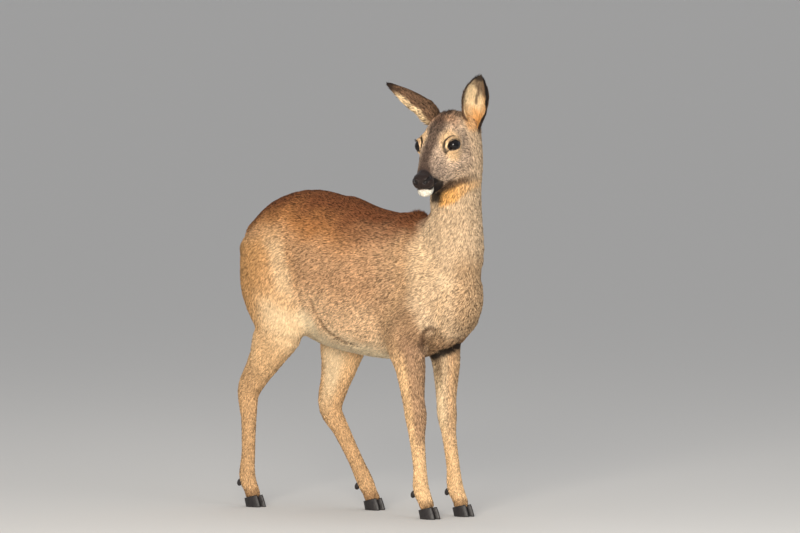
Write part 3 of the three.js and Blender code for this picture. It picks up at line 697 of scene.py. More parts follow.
def paint_legs(lay, at):
    """Tan, with a brown stripe down the forelegs, cream within, painted shadow on the far foreleg's inner
    edge, and painted shade at the brisket.
    """
    lay(LEG_TAN, at.legs() * (1 - at.along_leg(0.72, 0.95)))
    for name, leg in LEGS.items():
        share = at.share[name]
        _, place, angle = leg.limb.measure(at.p)
        front, inward = -np.cos(angle), -leg.sign * np.sin(angle)
        inner = smooth(0.3, 0.9, inward) * smooth(0.35, 0.6, place)
        lay(CREAM, share, inner, 0.6)
        if name == "foreleg_left":
            # painted shadow: the far foreleg's inner edge, shaded by the near leg and the chest
            lay(SHADE_DARK, share, smooth(0.8, 0.98, inward), smooth(0.66, 0.78, place), 0.7)
        if name.startswith("fore"):
            stripe = smooth(0.1, 0.75, front) * (0.75 if name == "foreleg_right" else 0.4)
            lay(LEG_BROWN, share, stripe, smooth(0.34, 0.48, place), smooth(1.02, 0.85, place))
        else:
            lay(HIND_TAN, share, smooth(0.75, 0.45, place), 1 - inner, 0.9)
            behind = smooth(0.5, 0.95, -front)
            lay(LEG_BROWN, share, behind, smooth(0.12, 0.3, place), smooth(0.42, 0.34, place), 0.35)
    lay(HOOF_HAIR, at.legs(), smooth(52, 34, at.z), 0.7)
    # painted shade: a black line in the crease where the brisket meets the far foreleg
    lay(BLACK, smooth(9, 4, at.fold["brisket"]), smooth(-15, 10, at.y), 0.95)


def paint_rear(lay, at):
    """The white patch on the rump, and the tail."""
    patch = np.hypot(at.y / 60, (at.z - 562) / 62)
    lay(WHITE, smooth(-262, -290, at.x), smooth(1.12, 0.85, patch))
    lay(CROUP_TAN, at.share["tail"], smooth(575, 600, at.z))
    lay(WHITE, at.share["tail"], smooth(590, 570, at.z))


def paint_head(lay, at, wave):
    """Grey-brown cheeks, a pale ring round the eye, orange at the ear's root, a dark stripe down the face,
    and painted shade in the hollow behind the eye.
    """
    head = at.share["head"]
    x, y, z = at.head.T
    side = np.abs(y)
    lay(CHEEK, head)
    lay(CHEEK_GREY, head, smooth(-8, -36, x + 0.3 * (z + 30)), smooth(30, 12, z), 0.95)
    lay(CHEEK_GREY, head, smooth(30, 70, x), smooth(-35, -15, z + 0.35 * x), 0.6)
    lay(RING, head, smooth(46, 26, at.eye), smooth(-30, 10, x + 0.3 * z))
    lay(FOREHEAD, head, smooth(5, -38, x + 0.5 * side), smooth(14, 32, z), smooth(58, 28, side + 4 * wave))
    ear_root = np.linalg.norm(at.head - vec(-76, 50, 22), axis=1)
    lay(EAR_ORANGE, smooth(28, 14, ear_root + 2 * wave), 0.6)
    half = np.interp(x, [-60, -40, -5, 10, 38, 84, 100], [10, 10, 20, 14, 12, 13, 14])
    lay(FACE_DARK, head, smooth(half + 11, half - 8, side + 4 * wave), smooth(-30, 5, z + 0.3 * x), 0.85)
    lay(FACE_DARK, head, smooth(88, 99, x), smooth(-48, -38, z), smooth(20, 12, side), 0.7)
    lay(FACE_DARK, head, smooth(-42, -64, x), smooth(14, 34, z), smooth(48, 30, side), 0.4)
    lay(BLACK, head, smooth(-62, -74, x), smooth(25, 45, z), 0.7)
    # painted shade: a dark streak in the hollow behind and below the eye
    temple_shade = np.hypot(x + 34, (z + 31) / 2.6)
    lay(FACE_DARK, head, smooth(7, 3, temple_shade + wave), smooth(45, 50, side), 0.5)


def paint_throat(lay, at, wave):
    """Painted shade along the jaw's lower edge, an orange patch below it, and a painted shadow under the
    chin.
    """
    x, y, z = at.x, at.y, at.z
    u = x + 0.6 * (y + 60)
    jaw = np.interp(u, [280, 300, 314, 332, 356, 380, 403], [750, 747, 755, 763, 773, 778, 783])
    low = np.interp(u, [300, 320, 347, 382, 403, 430], [719, 722, 730, 757, 765, 776])
    front = smooth(250, 275, x) * smooth(34, -4, y)
    patch = smooth(low - 5, low + 4, z) * smooth(jaw + 3, jaw - 5, z)
    lay(THROAT, front, patch, smooth(296, 306, u), np.interp(u, [340, 390, 430], [0.95, 0.35, 0]))
    # painted shade: a dark band along the jaw's lower edge
    line = smooth(14, 4, np.abs(z - jaw - 3 + 3 * wave))
    lay(JAW_SHADE, front, line, smooth(290, 300, u), smooth(410, 360, u), 0.85)
    # painted shadow: a black patch on the throat under the chin
    chin_shadow = smooth(722, 733, z) * smooth(758, 748, z)
    lay(BLACK, front, chin_shadow, smooth(270, 282, u), smooth(312, 302, u), 0.9)


def paint_muzzle(lay, at):
    """A white chin, black round the mouth, the nose, dark rims on the lids, and painted shade in the nostrils
    and in the crease round the eye.
    """
    head, mouth = at.share["head"], at.mouth
    x, side = at.head[:, 0], np.abs(at.head[:, 1])
    lip = mouth + 0.5 * np.maximum(side - 11, 0)
    lay(WHITE, head, smooth(98, 103, x), smooth(-0.5, -2.5, lip))
    below = np.maximum(smooth(104, 99, x), smooth(-2.5, -0.5, lip)) * smooth(-36, -28, mouth)
    band = smooth(54, 62, x) * smooth(11, 5, mouth - 0.53 * (x - 80))
    band *= smooth(0, 3, mouth) + smooth(3, 0, mouth) * below
    lay(BLACK, head, band, smooth(4, 8, side), 0.95)
    lay(NOSE, at.pad)
    # painted shade: black in the nostril pits
    lay(BLACK, at.pad, smooth(1.2, -1, at.nostril))
    # painted shade: a black line in the crease round the eye's upper and front side
    lay(BLACK, head, smooth(2.6, 1.3, at.crease), 0.95)
    lay(BLACK, 1 - smooth(1.1, 1.18, at.rim), smooth(EYE_RADIUS + 7, EYE_RADIUS + 4.5, at.eye))


def markings(at):
    """The coat's colour at each place, without the speckle of single tufts."""
    coat = Layers(FLANK, len(at.p))
    wave = noise(at.p, 60, 3)
    paint_trunk(coat.lay, at, wave)
    paint_legs(coat.lay, at)
    paint_rear(coat.lay, at)
    paint_head(coat.lay, at, wave)
    paint_throat(coat.lay, at, wave)
    paint_muzzle(coat.lay, at)
    return coat.colour


# ---- Meshes


def add_object(name, data):
    piece = bpy.data.objects.new(name, data)
    bpy.context.scene.collection.objects.link(piece)
    return piece


def shade_smooth(mesh):
    mesh.polygons.foreach_set("use_smooth", np.full(len(mesh.polygons), True))


def mesh_object(name, points, faces):
    """A smooth mesh in the scene, from points in metres and a list of faces."""
    mesh = bpy.data.meshes.new(name)
    mesh.from_pydata(np.asarray(points).tolist(), [], faces)
    shade_smooth(mesh)
    return add_object(name, mesh)


def finish(piece, material, slot, *nodes):
    """Gives a piece its material, and lets it take the place of the CAD nodes named. The slot is not used."""
    piece.data.materials.append(material)
    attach(piece, "root")
    if nodes:
        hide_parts(*nodes)


def set_colours(piece, colours):
    layer = piece.data.color_attributes.new(name="coat", type="FLOAT_COLOR", domain="POINT")
    rows = np.ones((len(colours), 4), np.float32)
    rows[:, :3] = colours
    layer.data.foreach_set("color", rows.ravel())


def set_bare(piece, values):
    layer = piece.data.attributes.new(name="bare", type="FLOAT", domain="POINT")
    layer.data.foreach_set("value", np.asarray(values, np.float32))


def rows_of(items, field, width, kind=np.float32):
    """One field of a mesh's vertices, edges or triangles, a row for each."""
    flat = np.zeros(len(items) * width, kind)
    items.foreach_get(field, flat)
    return flat.reshape(-1, width)


def points_of(mesh):
    """A mesh's vertices in the deer's millimetres."""
    return from_frame(rows_of(mesh.vertices, "co", 3).astype(float))


def normals_of(mesh):
    return rows_of(mesh.vertices, "normal", 3).astype(float)


def edges_of(mesh):
    return rows_of(mesh.edges, "vertices", 2, np.int32)


def move_points(mesh, p):
    mesh.vertices.foreach_set("co", to_frame(p).astype(np.float32).ravel())


def tube_faces(rows, count):
    """Quads between rows of so many points each, and a cap at both ends."""
    faces = []
    for r in range(rows):
        for i in range(count):
            a, b = r * count + i, r * count + (i + 1) % count
            faces.append([a, a + count, b + count, b])
    return faces + [list(range(count)), list(range(rows * count, (rows + 1) * count))[::-1]]


def globe(rings, steps):
    """Points on a unit ball, in rings from its front pole on the x axis to its back one, and its faces."""
    polar = np.repeat(np.linspace(0, pi, rings + 1)[1:-1], steps)
    turn = np.tile(np.linspace(0, 2 * pi, steps, endpoint=False), rings - 1)
    rows = np.stack([np.cos(polar), np.sin(polar) * np.cos(turn), np.sin(polar) * np.sin(turn)], 1)
    points = np.concatenate([[[1, 0, 0]], rows, [[-1, 0, 0]]])
    last = len(points) - 1

    def spot(k, i):
        return 1 + k * steps + i % steps

    faces = [[0, spot(0, i), spot(0, i + 1)] for i in range(steps)]
    for k in range(rings - 2):
        faces += [[spot(k, i), spot(k + 1, i), spot(k + 1, i + 1), spot(k, i + 1)] for i in range(steps)]
    faces += [[spot(rings - 2, i), last, spot(rings - 2, i + 1)] for i in range(steps)]
    return points, faces


# ---- Skin

BODY_VOXEL = 0.0059  # metres
OVERLAP = 0.001  # metres that each flesh node grows by, to reach into the next
SKIN_SHADE = 0.7  # painted shade: the skin under the hair is darkened, as shade between the tufts
FINER = [  # each row halves the faces within so many millimetres of a place on the head
    [(HEAD_MIDDLE, 125)],
    [((104, 0, -42), 38), (EYE_SEAT[1], 44), (EYE_SEAT[-1], 44), ((60, 0, -30), 40)],
    [((112, 0, -40), 30), (EYE_SEAT[1], 24), (EYE_SEAT[-1], 24)],
]


def rough_skin():
    """The flesh nodes, grown until they overlap, and remeshed as one closed surface."""
    joined = bmesh.new()
    for name in PARTS:
        grown = bmesh.new()
        grown.from_mesh(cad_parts[name].data)
        bmesh.ops.remove_doubles(grown, verts=grown.verts, dist=1e-6)
        grown.normal_update()
        for v in grown.verts:
            v.co += v.normal * OVERLAP
        mesh = bpy.data.meshes.new("grown")
        grown.to_mesh(mesh)
        grown.free()
        joined.from_mesh(mesh)
        bpy.data.meshes.remove(mesh)
    mesh = bpy.data.meshes.new("skin")
    joined.to_mesh(mesh)
    joined.free()
    piece = add_object("skin", mesh)
    remesh = piece.modifiers.new("remesh", "REMESH")
    remesh.mode = "VOXEL"
    remesh.voxel_size = BODY_VOXEL
    shown = piece.evaluated_get(bpy.context.evaluated_depsgraph_get())
    piece.data = bpy.data.meshes.new_from_object(shown)
    piece.modifiers.clear()
    return piece


def settle(p, field, edges, rounds, cap, relax=0.5):
    """Moves points onto the field's surface by Newton steps, and evens them out along it.

    No step is longer than the cap, and relax is how far a point moves towards its neighbours' middle.
    """
    a, b = edges.T
    neighbours = np.bincount(edges.ravel(), minlength=len(p))[:, None]
    for _ in range(rounds):
        d, slope = slopes(field, p)
        steep = np.sum(slope * slope, 1)
        step = np.clip(d / np.sqrt(np.maximum(steep, 0.04)), -cap, cap)
        normal = unit(slope)
        p = p - normal * step[:, None]
        sums = [np.bincount(a, p[b, k], len(p)) + np.bincount(b, p[a, k], len(p)) for k in range(3)]
        p = p + relax * tangent(np.stack(sums, 1) / neighbours - p, normal)
    return p


def make_finer(mesh, places):
    """Halves every face that lies within reach of one of the places."""
    bm = bmesh.new()
    bm.from_mesh(mesh)
    middles = into_head(from_frame(np.array([f.calc_center_median()[:] for f in bm.faces])))
    chosen = np.zeros(len(middles), bool)
    for place, reach in places:
        chosen |= np.linalg.norm(middles - place, axis=1) < reach
    bm.faces.ensure_lookup_table()
    edges = {e for i in np.flatnonzero(chosen) for e in bm.faces[i].edges}
    bmesh.ops.subdivide_edges(bm, edges=list(edges), cuts=1, use_grid_fill=True)
    bm.to_mesh(mesh)
    bm.free()


def make_skin():
    """The skin, sunk below the outline by the coat's depth, with finer faces on the head."""
    piece = rough_skin()
    mesh = piece.data
    p = settle(points_of(mesh), outline, edges_of(mesh), rounds=2, cap=6)
    depth = Places(p).depth()
    p = settle(p, lambda x: outline(x) + depth, edges_of(mesh), rounds=2, cap=6)
    move_points(mesh, p)
    for places in FINER:
        make_finer(mesh, places)
        p = points_of(mesh)
        fine = np.linalg.norm(into_head(p) - HEAD_MIDDLE, axis=1) < 140
        edges = edges_of(mesh)
        fine_edges = np.cumsum(fine)[edges[fine[edges].all(1)]] - 1
        depth = Places(p[fine]).depth()
        p[fine] = settle(
            p[fine], lambda x: outline(x) + depth, fine_edges, rounds=3, cap=2.5, relax=0.35
        )
        move_points(mesh, p)
    mesh.update()
    shade_smooth(mesh)
    return piece


# ---- Ears

EAR_OUTLINE = [  # share of the length, half-width, half-angle of the cup's arc
    (0, 10, 150),
    (0.14, 15.5, 128),
    (0.32, 25.5, 102),
    (0.48, 30, 82),
    (0.64, 29.5, 70),
    (0.79, 23.5, 62),
    (0.91, 14.5, 55),
    (0.97, 9, 50),
    (1, 4.5, 45),
]
EAR_WALL = 5


class Ear:
    """A cupped leaf. Its midrib runs from the root by the bend to the tip, and its cup faces the opening.

    The dark edge is the side, 1 or -1, whose rim is broad and black.
    """

    def __init__(self, root, bend, tip, opening, dark_edge):
        self.root, self.bend, self.tip, self.opening, self.dark_edge = root, bend, tip, opening, dark_edge

    def make(self, name, rows=56, steps=22):
        """The ear's own skin: an outer and an inner sheet, thin at the rim. Each vertex knows its place."""
        row = np.array([spline(EAR_OUTLINE, s, 0.25) for s in np.linspace(0, 1, rows + 1)])
        t, share, sweep = row[:, :1], row[:, 0], np.radians(row[:, 2])
        centre = (1 - t) ** 2 * self.root + 2 * t * (1 - t) * self.bend + t**2 * self.tip
        along = unit((1 - t) * (self.bend - self.root) + t * (self.tip - self.bend))
        face = unit(self.opening - along * (along @ self.opening)[:, None])
        across = np.cross(along, face)
        quarter = np.minimum(sweep, pi / 2)
        radius = row[:, 1] / np.sin(quarter)
        flat = (radius * np.cos(quarter))[:, None]
        wall = np.minimum(EAR_WALL * (1 - 0.4 * share), 0.6 * radius)[:, None]
        f = np.linspace(-1, 1, steps + 1)
        edge = np.abs(f[::-1]) ** 3
        # The outer sheet lies under a short coat, and the inner one close under the cup's face.
        sheets = []
        for spread, inset in ((f, wall * 0.34), (f[::-1], wall * (0.86 - 0.42 * edge))):
            turn = sweep[:, None] * spread * 0.985
            reach = radius[:, None] - inset
            p = centre[:, None] + across[:, None] * (reach * np.sin(turn))[..., None]
            sheets.append(p + face[:, None] * (flat - reach * np.cos(turn))[..., None])
        ring = np.concatenate(sheets, 1)
        count = ring.shape[1]
        self.share = np.repeat(share, count)
        self.side = np.tile(np.concatenate([f, f[::-1]]), rows + 1)
        self.inner = np.tile(np.repeat([0.0, 1.0], steps + 1), rows + 1)
        self.along, self.across = np.repeat(along, count, 0), np.repeat(across, count, 0)
        return mesh_object(name, to_frame(ring.reshape(-1, 3)), tube_faces(rows, count))

    def markings(self, p):
        """Brown and speckled outside, cream inside with an orange base, and dark at the rim and tip."""
        coat = Layers(EAR_BROWN, len(p))
        lay, wave = coat.lay, noise(p, 22, 5)
        share, side, inner = self.share, self.side * self.dark_edge, self.inner
        if self.dark_edge < 0:
            fringe = smooth(0.6, 0.74, -side + 0.05 * wave)
            lay(EAR_CREAM, 1 - inner, fringe, smooth(0.08, 0.2, share), smooth(0.9, 0.75, share), 0.8)
        lay(EAR_CREAM, inner)
        lay(EAR_ORANGE, inner, smooth(0.42, 0.15, share + 0.06 * wave), 0.9)
        lay(EAR_ORANGE, inner, smooth(0.35, 0.7, side + 0.1 * wave), 0.45)
        lay(EAR_DARK, inner, smooth(0.54, 0.8, share + 0.06 * wave + 0.14 * side), 0.85)
        midline = smooth(0.15, 0.04, np.abs(side - 0.1 + 0.05 * wave))
        lay(EAR_DARK, inner, midline, smooth(0.34, 0.46, share), smooth(0.86, 0.7, share), 0.85)
        if self.dark_edge > 0:
            lay(BLACK, 1 - inner, smooth(0.1, 0.4, side), smooth(0.42, 0.25, share), 0.8)
        thick = 0.93 - 0.18 * (side > 0) * smooth(0.25, 0.5, share)
        rim = smooth(thick, thick + 0.05, np.abs(side) + 0.03 * wave)
        lay(BLACK, rim, smooth(0.3, 0.42, share), 0.35 + 0.65 * inner)
        lay(BLACK, smooth(0.84, 0.95, share + 0.05 * wave), 0.85)
        return coat.colour

    def coat(self):
        """Length, width, lift and number per 100 mm² of the tufts, and the way they point."""
        share, inner, rim = self.share, self.inner, np.abs(self.side)
        fringe = (1 - inner) * smooth(0.7, 0.9, -self.side * self.dark_edge)
        ruff = (1 - inner) * smooth(0.4, 0.15, share)
        length = mix(7, 13, inner) * (1 - 0.35 * smooth(0.6, 1, share))
        length = length * (1 - 0.35 * inner * smooth(0.7, 1, rim)) + 4 * fringe + 5 * ruff
        lift = mix(1.7, 3.2, inner) + 1.5 * fringe + 3 * ruff
        sideways = np.where(inner > 0.5, -0.55 * self.side * smooth(0.25, 0.9, rim), 0.35 * self.side * rim)
        lie = self.along + self.across * sideways[:, None]
        return length, mix(1.25, 1.1, inner), lift, mix(70, 62, inner), lie


EARS = {
    "ear_left": Ear(
        vec(361, -12, 884), vec(383, -41, 958), vec(378, -9, 1010), opening=vec(0.66, -0.75, 0.1), dark_edge=1
    ),
    "ear_right": Ear(
        vec(285, -42, 897), vec(249, -55, 933), vec(178, -100, 992), opening=vec(-0.78, 0.06, -0.64),
        dark_edge=-1,
    ),
}


# ---- Tufts: closed slivers with a ridge, wide at the root and pointed at the tip

SPIKE = np.array([[0, 2, 3], [1, 3, 2], [0, 3, 1], [0, 1, 2]])
TUFT_UV = 0.0015  # half the width of a tuft's patch on its bake map
SPECKLE = 2.5  # width of the speckle's dots
DARK_TIPS, LIGHT_TIPS = 0.34, 0.3  # their shares of all the dots
COAT_THICKNESS = 0.74  # share of the full number of tufts that is grown


def sliver_faces(count):
    return (SPIKE + 4 * np.arange(count)[:, None, None]).reshape(-1, 3)


class Roots:
    """Random places on a mesh, thicker where more tufts grow, with values carried over from its vertices."""

    def __init__(self, mesh, per_mm2):
        mesh.calc_loop_triangles()
        corners = rows_of(mesh.loop_triangles, "vertices", 3, np.int32)
        p = points_of(mesh)
        a, b, c = (p[corners[:, k]] for k in range(3))
        area = np.linalg.norm(np.cross(b - a, c - a), axis=1) / 2
        wanted = area * per_mm2[corners].mean(1)
        total = int(wanted.sum())
        heap = np.cumsum(wanted)
        spots = (np.arange(total) + rng.random(total)) * heap[-1] / total
        self.corners = corners[np.minimum(np.searchsorted(heap, spots), len(heap) - 1)]
        u, v = rng.random((2, total))
        over = u + v > 1
        u[over], v[over] = 1 - u[over], 1 - v[over]
        self.weights = np.stack([1 - u - v, u, v], 1)
        self.p = self.carry(p)
        self.normal = unit(self.carry(normals_of(mesh)))

    def carry(self, values):
        return np.einsum("nk,nk...->n...", self.weights, values[self.corners])


def speckle(p):
    """The tips' tones: small clusters are dark, others light, and the rest lie between."""
    wander = np.stack([noise(p, 2.2 * SPECKLE, seed) for seed in (41, 42, 43)], 1)
    cell = np.floor((p + 0.45 * SPECKLE * wander) / SPECKLE).astype(np.int64) + 4096
    mixed = (cell[:, 0] * 73856093) ^ (cell[:, 1] * 19349663) ^ (cell[:, 2] * 83492791)
    draw = (mixed * 2654435761 % 4294967296) / 4294967296
    draw = np.where(rng.random(len(p)) < 0.2, rng.random(len(p)), draw)
    even = cell.sum(1) % 2 == 0
    tone = rng.normal(1, 0.08, len(p))
    tone = np.where(even & (draw < 2 * DARK_TIPS), rng.uniform(0.16, 0.45, len(p)), tone)
    return np.where(~even & (draw < 2 * LIGHT_TIPS), rng.uniform(1.35, 1.7, len(p)), tone)


def tufts(name, p, normal, lie, length, width, lift, colour, contrast, chart, slot):
    """One mesh of tufts. The contrast is how strongly the speckle shows in it."""
    n = len(p)
    sway = unit(rng.normal(size=(n, 3)))
    wave = np.stack([noise(p, 26, seed) for seed in (21, 22, 23)], 1)
    lie = unit(lie + 0.16 * sway + 0.20 * wave)
    lie = unit(tangent(lie, normal))
    length = length * rng.uniform(0.7, 1.2, n)
    width = width * rng.uniform(0.75, 1.25, n)
    rise = np.arcsin(np.clip(lift * rng.uniform(0.35, 1.45, n) / length, 0, 0.9))[:, None]
    point = lie * np.cos(rise) + normal * np.sin(rise)
    side = unit(np.cross(normal, point)) * (width / 2)[:, None]
    sunk = p - normal * (0.35 * width)[:, None]
    ridge = p + point * (0.38 * length)[:, None] + normal * (0.42 * width)[:, None]
    tip = p + point * length[:, None]
    tone = 1 + (speckle(p + point * (0.8 * length)[:, None]) - 1) * contrast
    tone = np.maximum(tone, 0.08)
    points = np.stack([sunk + side, sunk - side, ridge, tip], 1).reshape(-1, 3)
    faces = sliver_faces(n)
    piece = mesh_object(name, to_frame(points), faces.tolist())
    up, aside = unit(normal + 0.2 * rng.normal(size=(n, 3))), 0.5 * unit(side)
    ways = np.stack([up + aside, up - aside, up, up + 0.2 * point], 1).reshape(-1, 3)
    piece.data.normals_split_custom_set_from_vertices(unit(ways).tolist())
    # painted shade: each tuft is darker at its root and a little at its ridge than at its tip, as shade deep
    # in the coat
    base = np.full(n, 0.55)
    shades = colour[:, None] * np.stack([base, base, mix(0.92, tone, 0.85), tone], 1)[..., None]
    set_colours(piece, shades.reshape(-1, 3))
    low, high = chart.min(0), chart.max(0)
    place = 0.01 + 0.98 * (chart - low) / np.maximum(high - low, 1e-9)
    corner = np.array([[-1, -1], [1, -1], [0, 0], [0, 1]]) * TUFT_UV
    spots = (place[:, None] + corner).reshape(-1, 2)
    layer = piece.data.uv_layers.new(name="OFBake")
    layer.data.foreach_set("uv", spots[faces.ravel()].astype(np.float32).ravel())
    finish(piece, COAT_MATERIAL, slot)


def chart_of(name, p):
    """Each root's place on the flattened skin of its part."""
    if name == "head":
        q = into_head(p)
        return np.stack([q[:, 0], np.arctan2(q[:, 1], q[:, 2] + 28)], 1)
    _, place, angle = TUBES[name].measure(p)
    return np.stack([angle, p[:, 0] if name == "trunk" else place], 1)


def groups_of(name, p):
    """The pieces that a part's coat is split into, each with the roots that it takes."""
    rear, left = p[:, 0] < 0, p[:, 1] > 0
    if name == "trunk":
        return {
            "trunk_rear_left": rear & left,
            "trunk_rear_right": rear & ~left,
            "trunk_front_left": ~rear & left,
            "trunk_front_right": ~rear & ~left,
        }
    if name == "head":
        left = into_head(p)[:, 1] > 0
        return {"head_left": left, "head_right": ~left}
    return {name: np.full(len(p), True)}


def grow_coat(skin, at):
    """Tufts over the whole skin, in pieces of one part of the body each."""
    length, width, lift, count = at.coat()
    hairy = smooth(0.35, 0.1, at.bare()) * (at.eye > EYE_RADIUS + 1.2) * (at.z > 22) * (at.crease > 1.3)
    roots = Roots(skin.data, COAT_THICKNESS * count / 100 * hairy)
    lie = roots.carry(at.lie(normals_of(skin.data)))
    colour = roots.carry(markings(at))
    length, width, lift = roots.carry(length), roots.carry(width), roots.carry(lift)
    owner = np.argmax(np.stack([roots.carry(at.share[n]) for n in PARTS], 1), 1)
    bright, legs = colour.mean(1), at.legs()
    softer = 0.25 * at.share["neck"] + 0.35 * legs * (at.x < 0) + 0.2 * legs * (at.x > 0)
    contrast = smooth(0.015, 0.1, bright) * (1 - 0.75 * smooth(0.5, 0.75, bright))
    contrast *= 1.15 + roots.carry(0.2 * at.share["head"]) - roots.carry(softer)
    patchy = 1 + 0.07 * noise(roots.p, 14, 31) + 0.06 * noise(roots.p, 55, 32)
    for number, name in enumerate(PARTS):
        slot = "leg_coat" if name in LEGS else "rump_white" if name == "tail" else "coat"
        for group, chosen in groups_of(name, roots.p).items():
            c = chosen & (owner == number)
            tufts(
                "coat_" + group, roots.p[c], roots.normal[c], lie[c], length[c], width[c], lift[c],
                colour[c] * patchy[c, None], contrast[c], chart_of(name, roots.p[c]), slot,
            )


def make_ears():
    """Each ear's skin and its tufts. None grow where the ear's foot is inside the head."""
    for name, ear in EARS.items():
        piece = ear.make(name + "_skin")
        p = points_of(piece.data)
        colours = ear.markings(p)
        # painted shade: the ear's skin is darkened under its tufts
        set_colours(piece, colours * SKIN_SHADE)
        set_bare(piece, np.zeros(len(p)))
        finish(piece, SKIN_MATERIAL, "ear", name)
        length, width, lift, count, lie = ear.coat()
        outside = smooth(1, 3, head_bulk(into_head(p)))
        roots = Roots(piece.data, count / 100 * outside)
        side, share, inner = (roots.carry(v) for v in (ear.side, ear.share, ear.inner))
        colour = roots.carry(colours)
        contrast = smooth(0.015, 0.1, colour.mean(1)) * mix(1.9, 0.6, inner)
        chart = np.stack([side + 2.2 * (inner > 0.5), share], 1)
        tufts(
            "coat_" + name, roots.p, roots.normal, roots.carry(lie), roots.carry(length), roots.carry(width),
            roots.carry(lift), colour, contrast, chart, "ear",
        )


# ---- Eyes, hooves and lashes


def make_eyes():
    """Dark eyes with a bulging cornea, a brown iris and a pupil that lies level."""
    local, faces = globe(rings=48, steps=72)
    x, y, z = local.T
    radius = EYE_RADIUS + 0.9 * smooth(radians(46), radians(20), np.arccos(x))
    iris = smooth(0.64, 0.56, np.hypot(y, z)) * (x > 0)
    pupil = smooth(1.08, 0.92, np.hypot(y / 0.34, z / 0.2)) * (x > 0)
    colours = mix(mix(EYE_RIM, IRIS, iris[:, None]), PUPIL, pupil[:, None])
    for s, name in ((1, "eye_left"), (-1, "eye_right")):
        q = EYE_SEAT[s] + (local * radius[:, None]) @ np.array(eye_axes(s))
        facing_out = faces if s > 0 else [f[::-1] for f in faces]
        piece = mesh_object(name + "_ball", to_frame(on_head(q)), facing_out)
        set_colours(piece, colours)
        finish(piece, EYE_MATERIAL, "eye", name)


HOOF_LENGTH, HOOF_WIDTH, CLEFT = 45, 17.5, 1.6
LASHES = 46  # on each upper lid


def claw(leg, side, rings=14, steps=36):
    """One claw: flat below, pinched at the toe, and smaller and further back towards the coronet."""
    share = np.repeat(np.arange(rings + 1) / rings, steps)
    turn = np.tile(2 * pi * np.arange(steps) / steps, rings + 1)
    toe = np.cos(turn)
    grow = 1 - 0.14 * share**1.3 - 0.02 * smooth(0.12, 0, share)
    pinch = 1 - 0.3 * np.maximum(toe, 0) ** 2
    middle = leg.coronet[1] + side * (HOOF_WIDTH + CLEFT) / 2
    x = leg.coronet[0] + 8 - 8 * share**1.2 + 0.98 * grow * HOOF_LENGTH * toe / 2
    y = middle + 0.97 * grow * HOOF_WIDTH / 2 * np.sin(turn) * pinch
    top = CORONET - 0.4 + 0.24 * (x - leg.coronet[0])
    return np.stack([x, y, share * top], 1), [f[::-1] for f in tube_faces(rings, steps)]


def dewclaw(leg, side):
    """A small long ball behind the fetlock, leaning forward at its top."""
    points, faces = globe(rings=14, steps=20)
    x, y, z = (points[:, [1, 2, 0]] * (6.8, 5.3, 9.3)).T
    lean = radians(28)
    points = np.stack([x * cos(lean) + z * sin(lean), y, z * cos(lean) - x * sin(lean)], 1)
    return points + leg.fetlock + vec(-17, side * 10, -11), faces


def make_hooves():
    for leg_name, leg in LEGS.items():
        for label, side in (("inner", -leg.sign), ("outer", leg.sign)):
            for kind, make in (("hoof", claw), ("dewclaw", dewclaw)):
                name = f"{kind}_{leg_name}_{label}"
                points, faces = make(leg, side)
                finish(mesh_object(name + "_horn", to_frame(points), faces), HORN_MATERIAL, "horn", name)


def make_lashes():
    """Short dark lashes along the upper lids."""
    wide, high = radians(OPENING[0]) * 1.05, radians(OPENING[1]) * 1.12
    roots, ways = [], []
    for s in SIDES:
        out, level, upward = eye_axes(s)
        for turn in np.linspace(radians(25), radians(150), LASHES):
            turn += rng.normal(0, 0.02)
            a, b = wide * cos(turn), high * sin(turn)
            angle = np.hypot(a, b)
            way = (level * a + upward * b) / angle
            roots.append(EYE_SEAT[s] + (EYE_RADIUS + 1.5) * (out * cos(angle) + way * sin(angle)))
            point = unit(out * 0.9 + way * 0.55 + level * -0.25 + rng.normal(0, 0.06, 3))
            ways.append(point * (4 + 3 * sin(turn) * (turn > 1)))
    roots, ways = np.array(roots), np.array(ways)
    side = unit(np.cross(ways, vec(0, 0, 1)))
    up = unit(np.cross(side, ways))
    corners = [roots + side * 0.27, roots - side * 0.27, roots + up * 0.4, roots + ways + up * 1.2]
    q = np.stack(corners, 1).reshape(-1, 3)
    piece = mesh_object("lashes", to_frame(on_head(q)), sliver_faces(len(roots)).tolist())
    finish(piece, plain_material("lashes", BLACK, 0.5), "coat")


# ---- Materials


class Nodes:
    """Builds one material's node tree."""

    def __init__(self, name):
        self.material = bpy.data.materials.new(name)
        self.material.use_nodes = True
        self.tree = self.material.node_tree

    def put(self, socket, value):
        if isinstance(value, bpy.types.NodeSocket):
            self.tree.links.new(value, socket)
        else:
            socket.default_value = value

    def add(self, kind, output, inputs=(), **settings):
        """A new node's output. The inputs go by name or number."""
        node = self.tree.nodes.new("ShaderNode" + kind)
        for key, value in settings.items():
            setattr(node, key, value)
        for key, value in dict(inputs).items():
            self.put(node.inputs[key], value)
        return node.outputs[output]

    def shade(self, **inputs):
        """Sets the shader's sockets, and gives the finished material."""
        for key, value in inputs.items():
            self.put(self.tree.nodes["Principled BSDF"].inputs[key.replace("_", " ")], value)
        return self.material

    def attribute(self, name, output="Color"):
        return self.add("Attribute", output, attribute_name=name)

    def noise(self, scale):
        place = self.add("TexCoord", "Object")
        return self.add("TexNoise", "Fac", {"Vector": place, "Scale": scale, "Detail": 3})

    def spread(self, value, low, high, to_low, to_high):
        return self.add("MapRange", "Result", enumerate((value, low, high, to_low, to_high)))

    def times(self, colour, value):
        return self.add("VectorMath", "Vector", {0: colour, "Scale": value}, operation="SCALE")

    def bump(self, height, distance):
        return self.add("Bump", "Normal", {"Height": height, "Distance": distance})


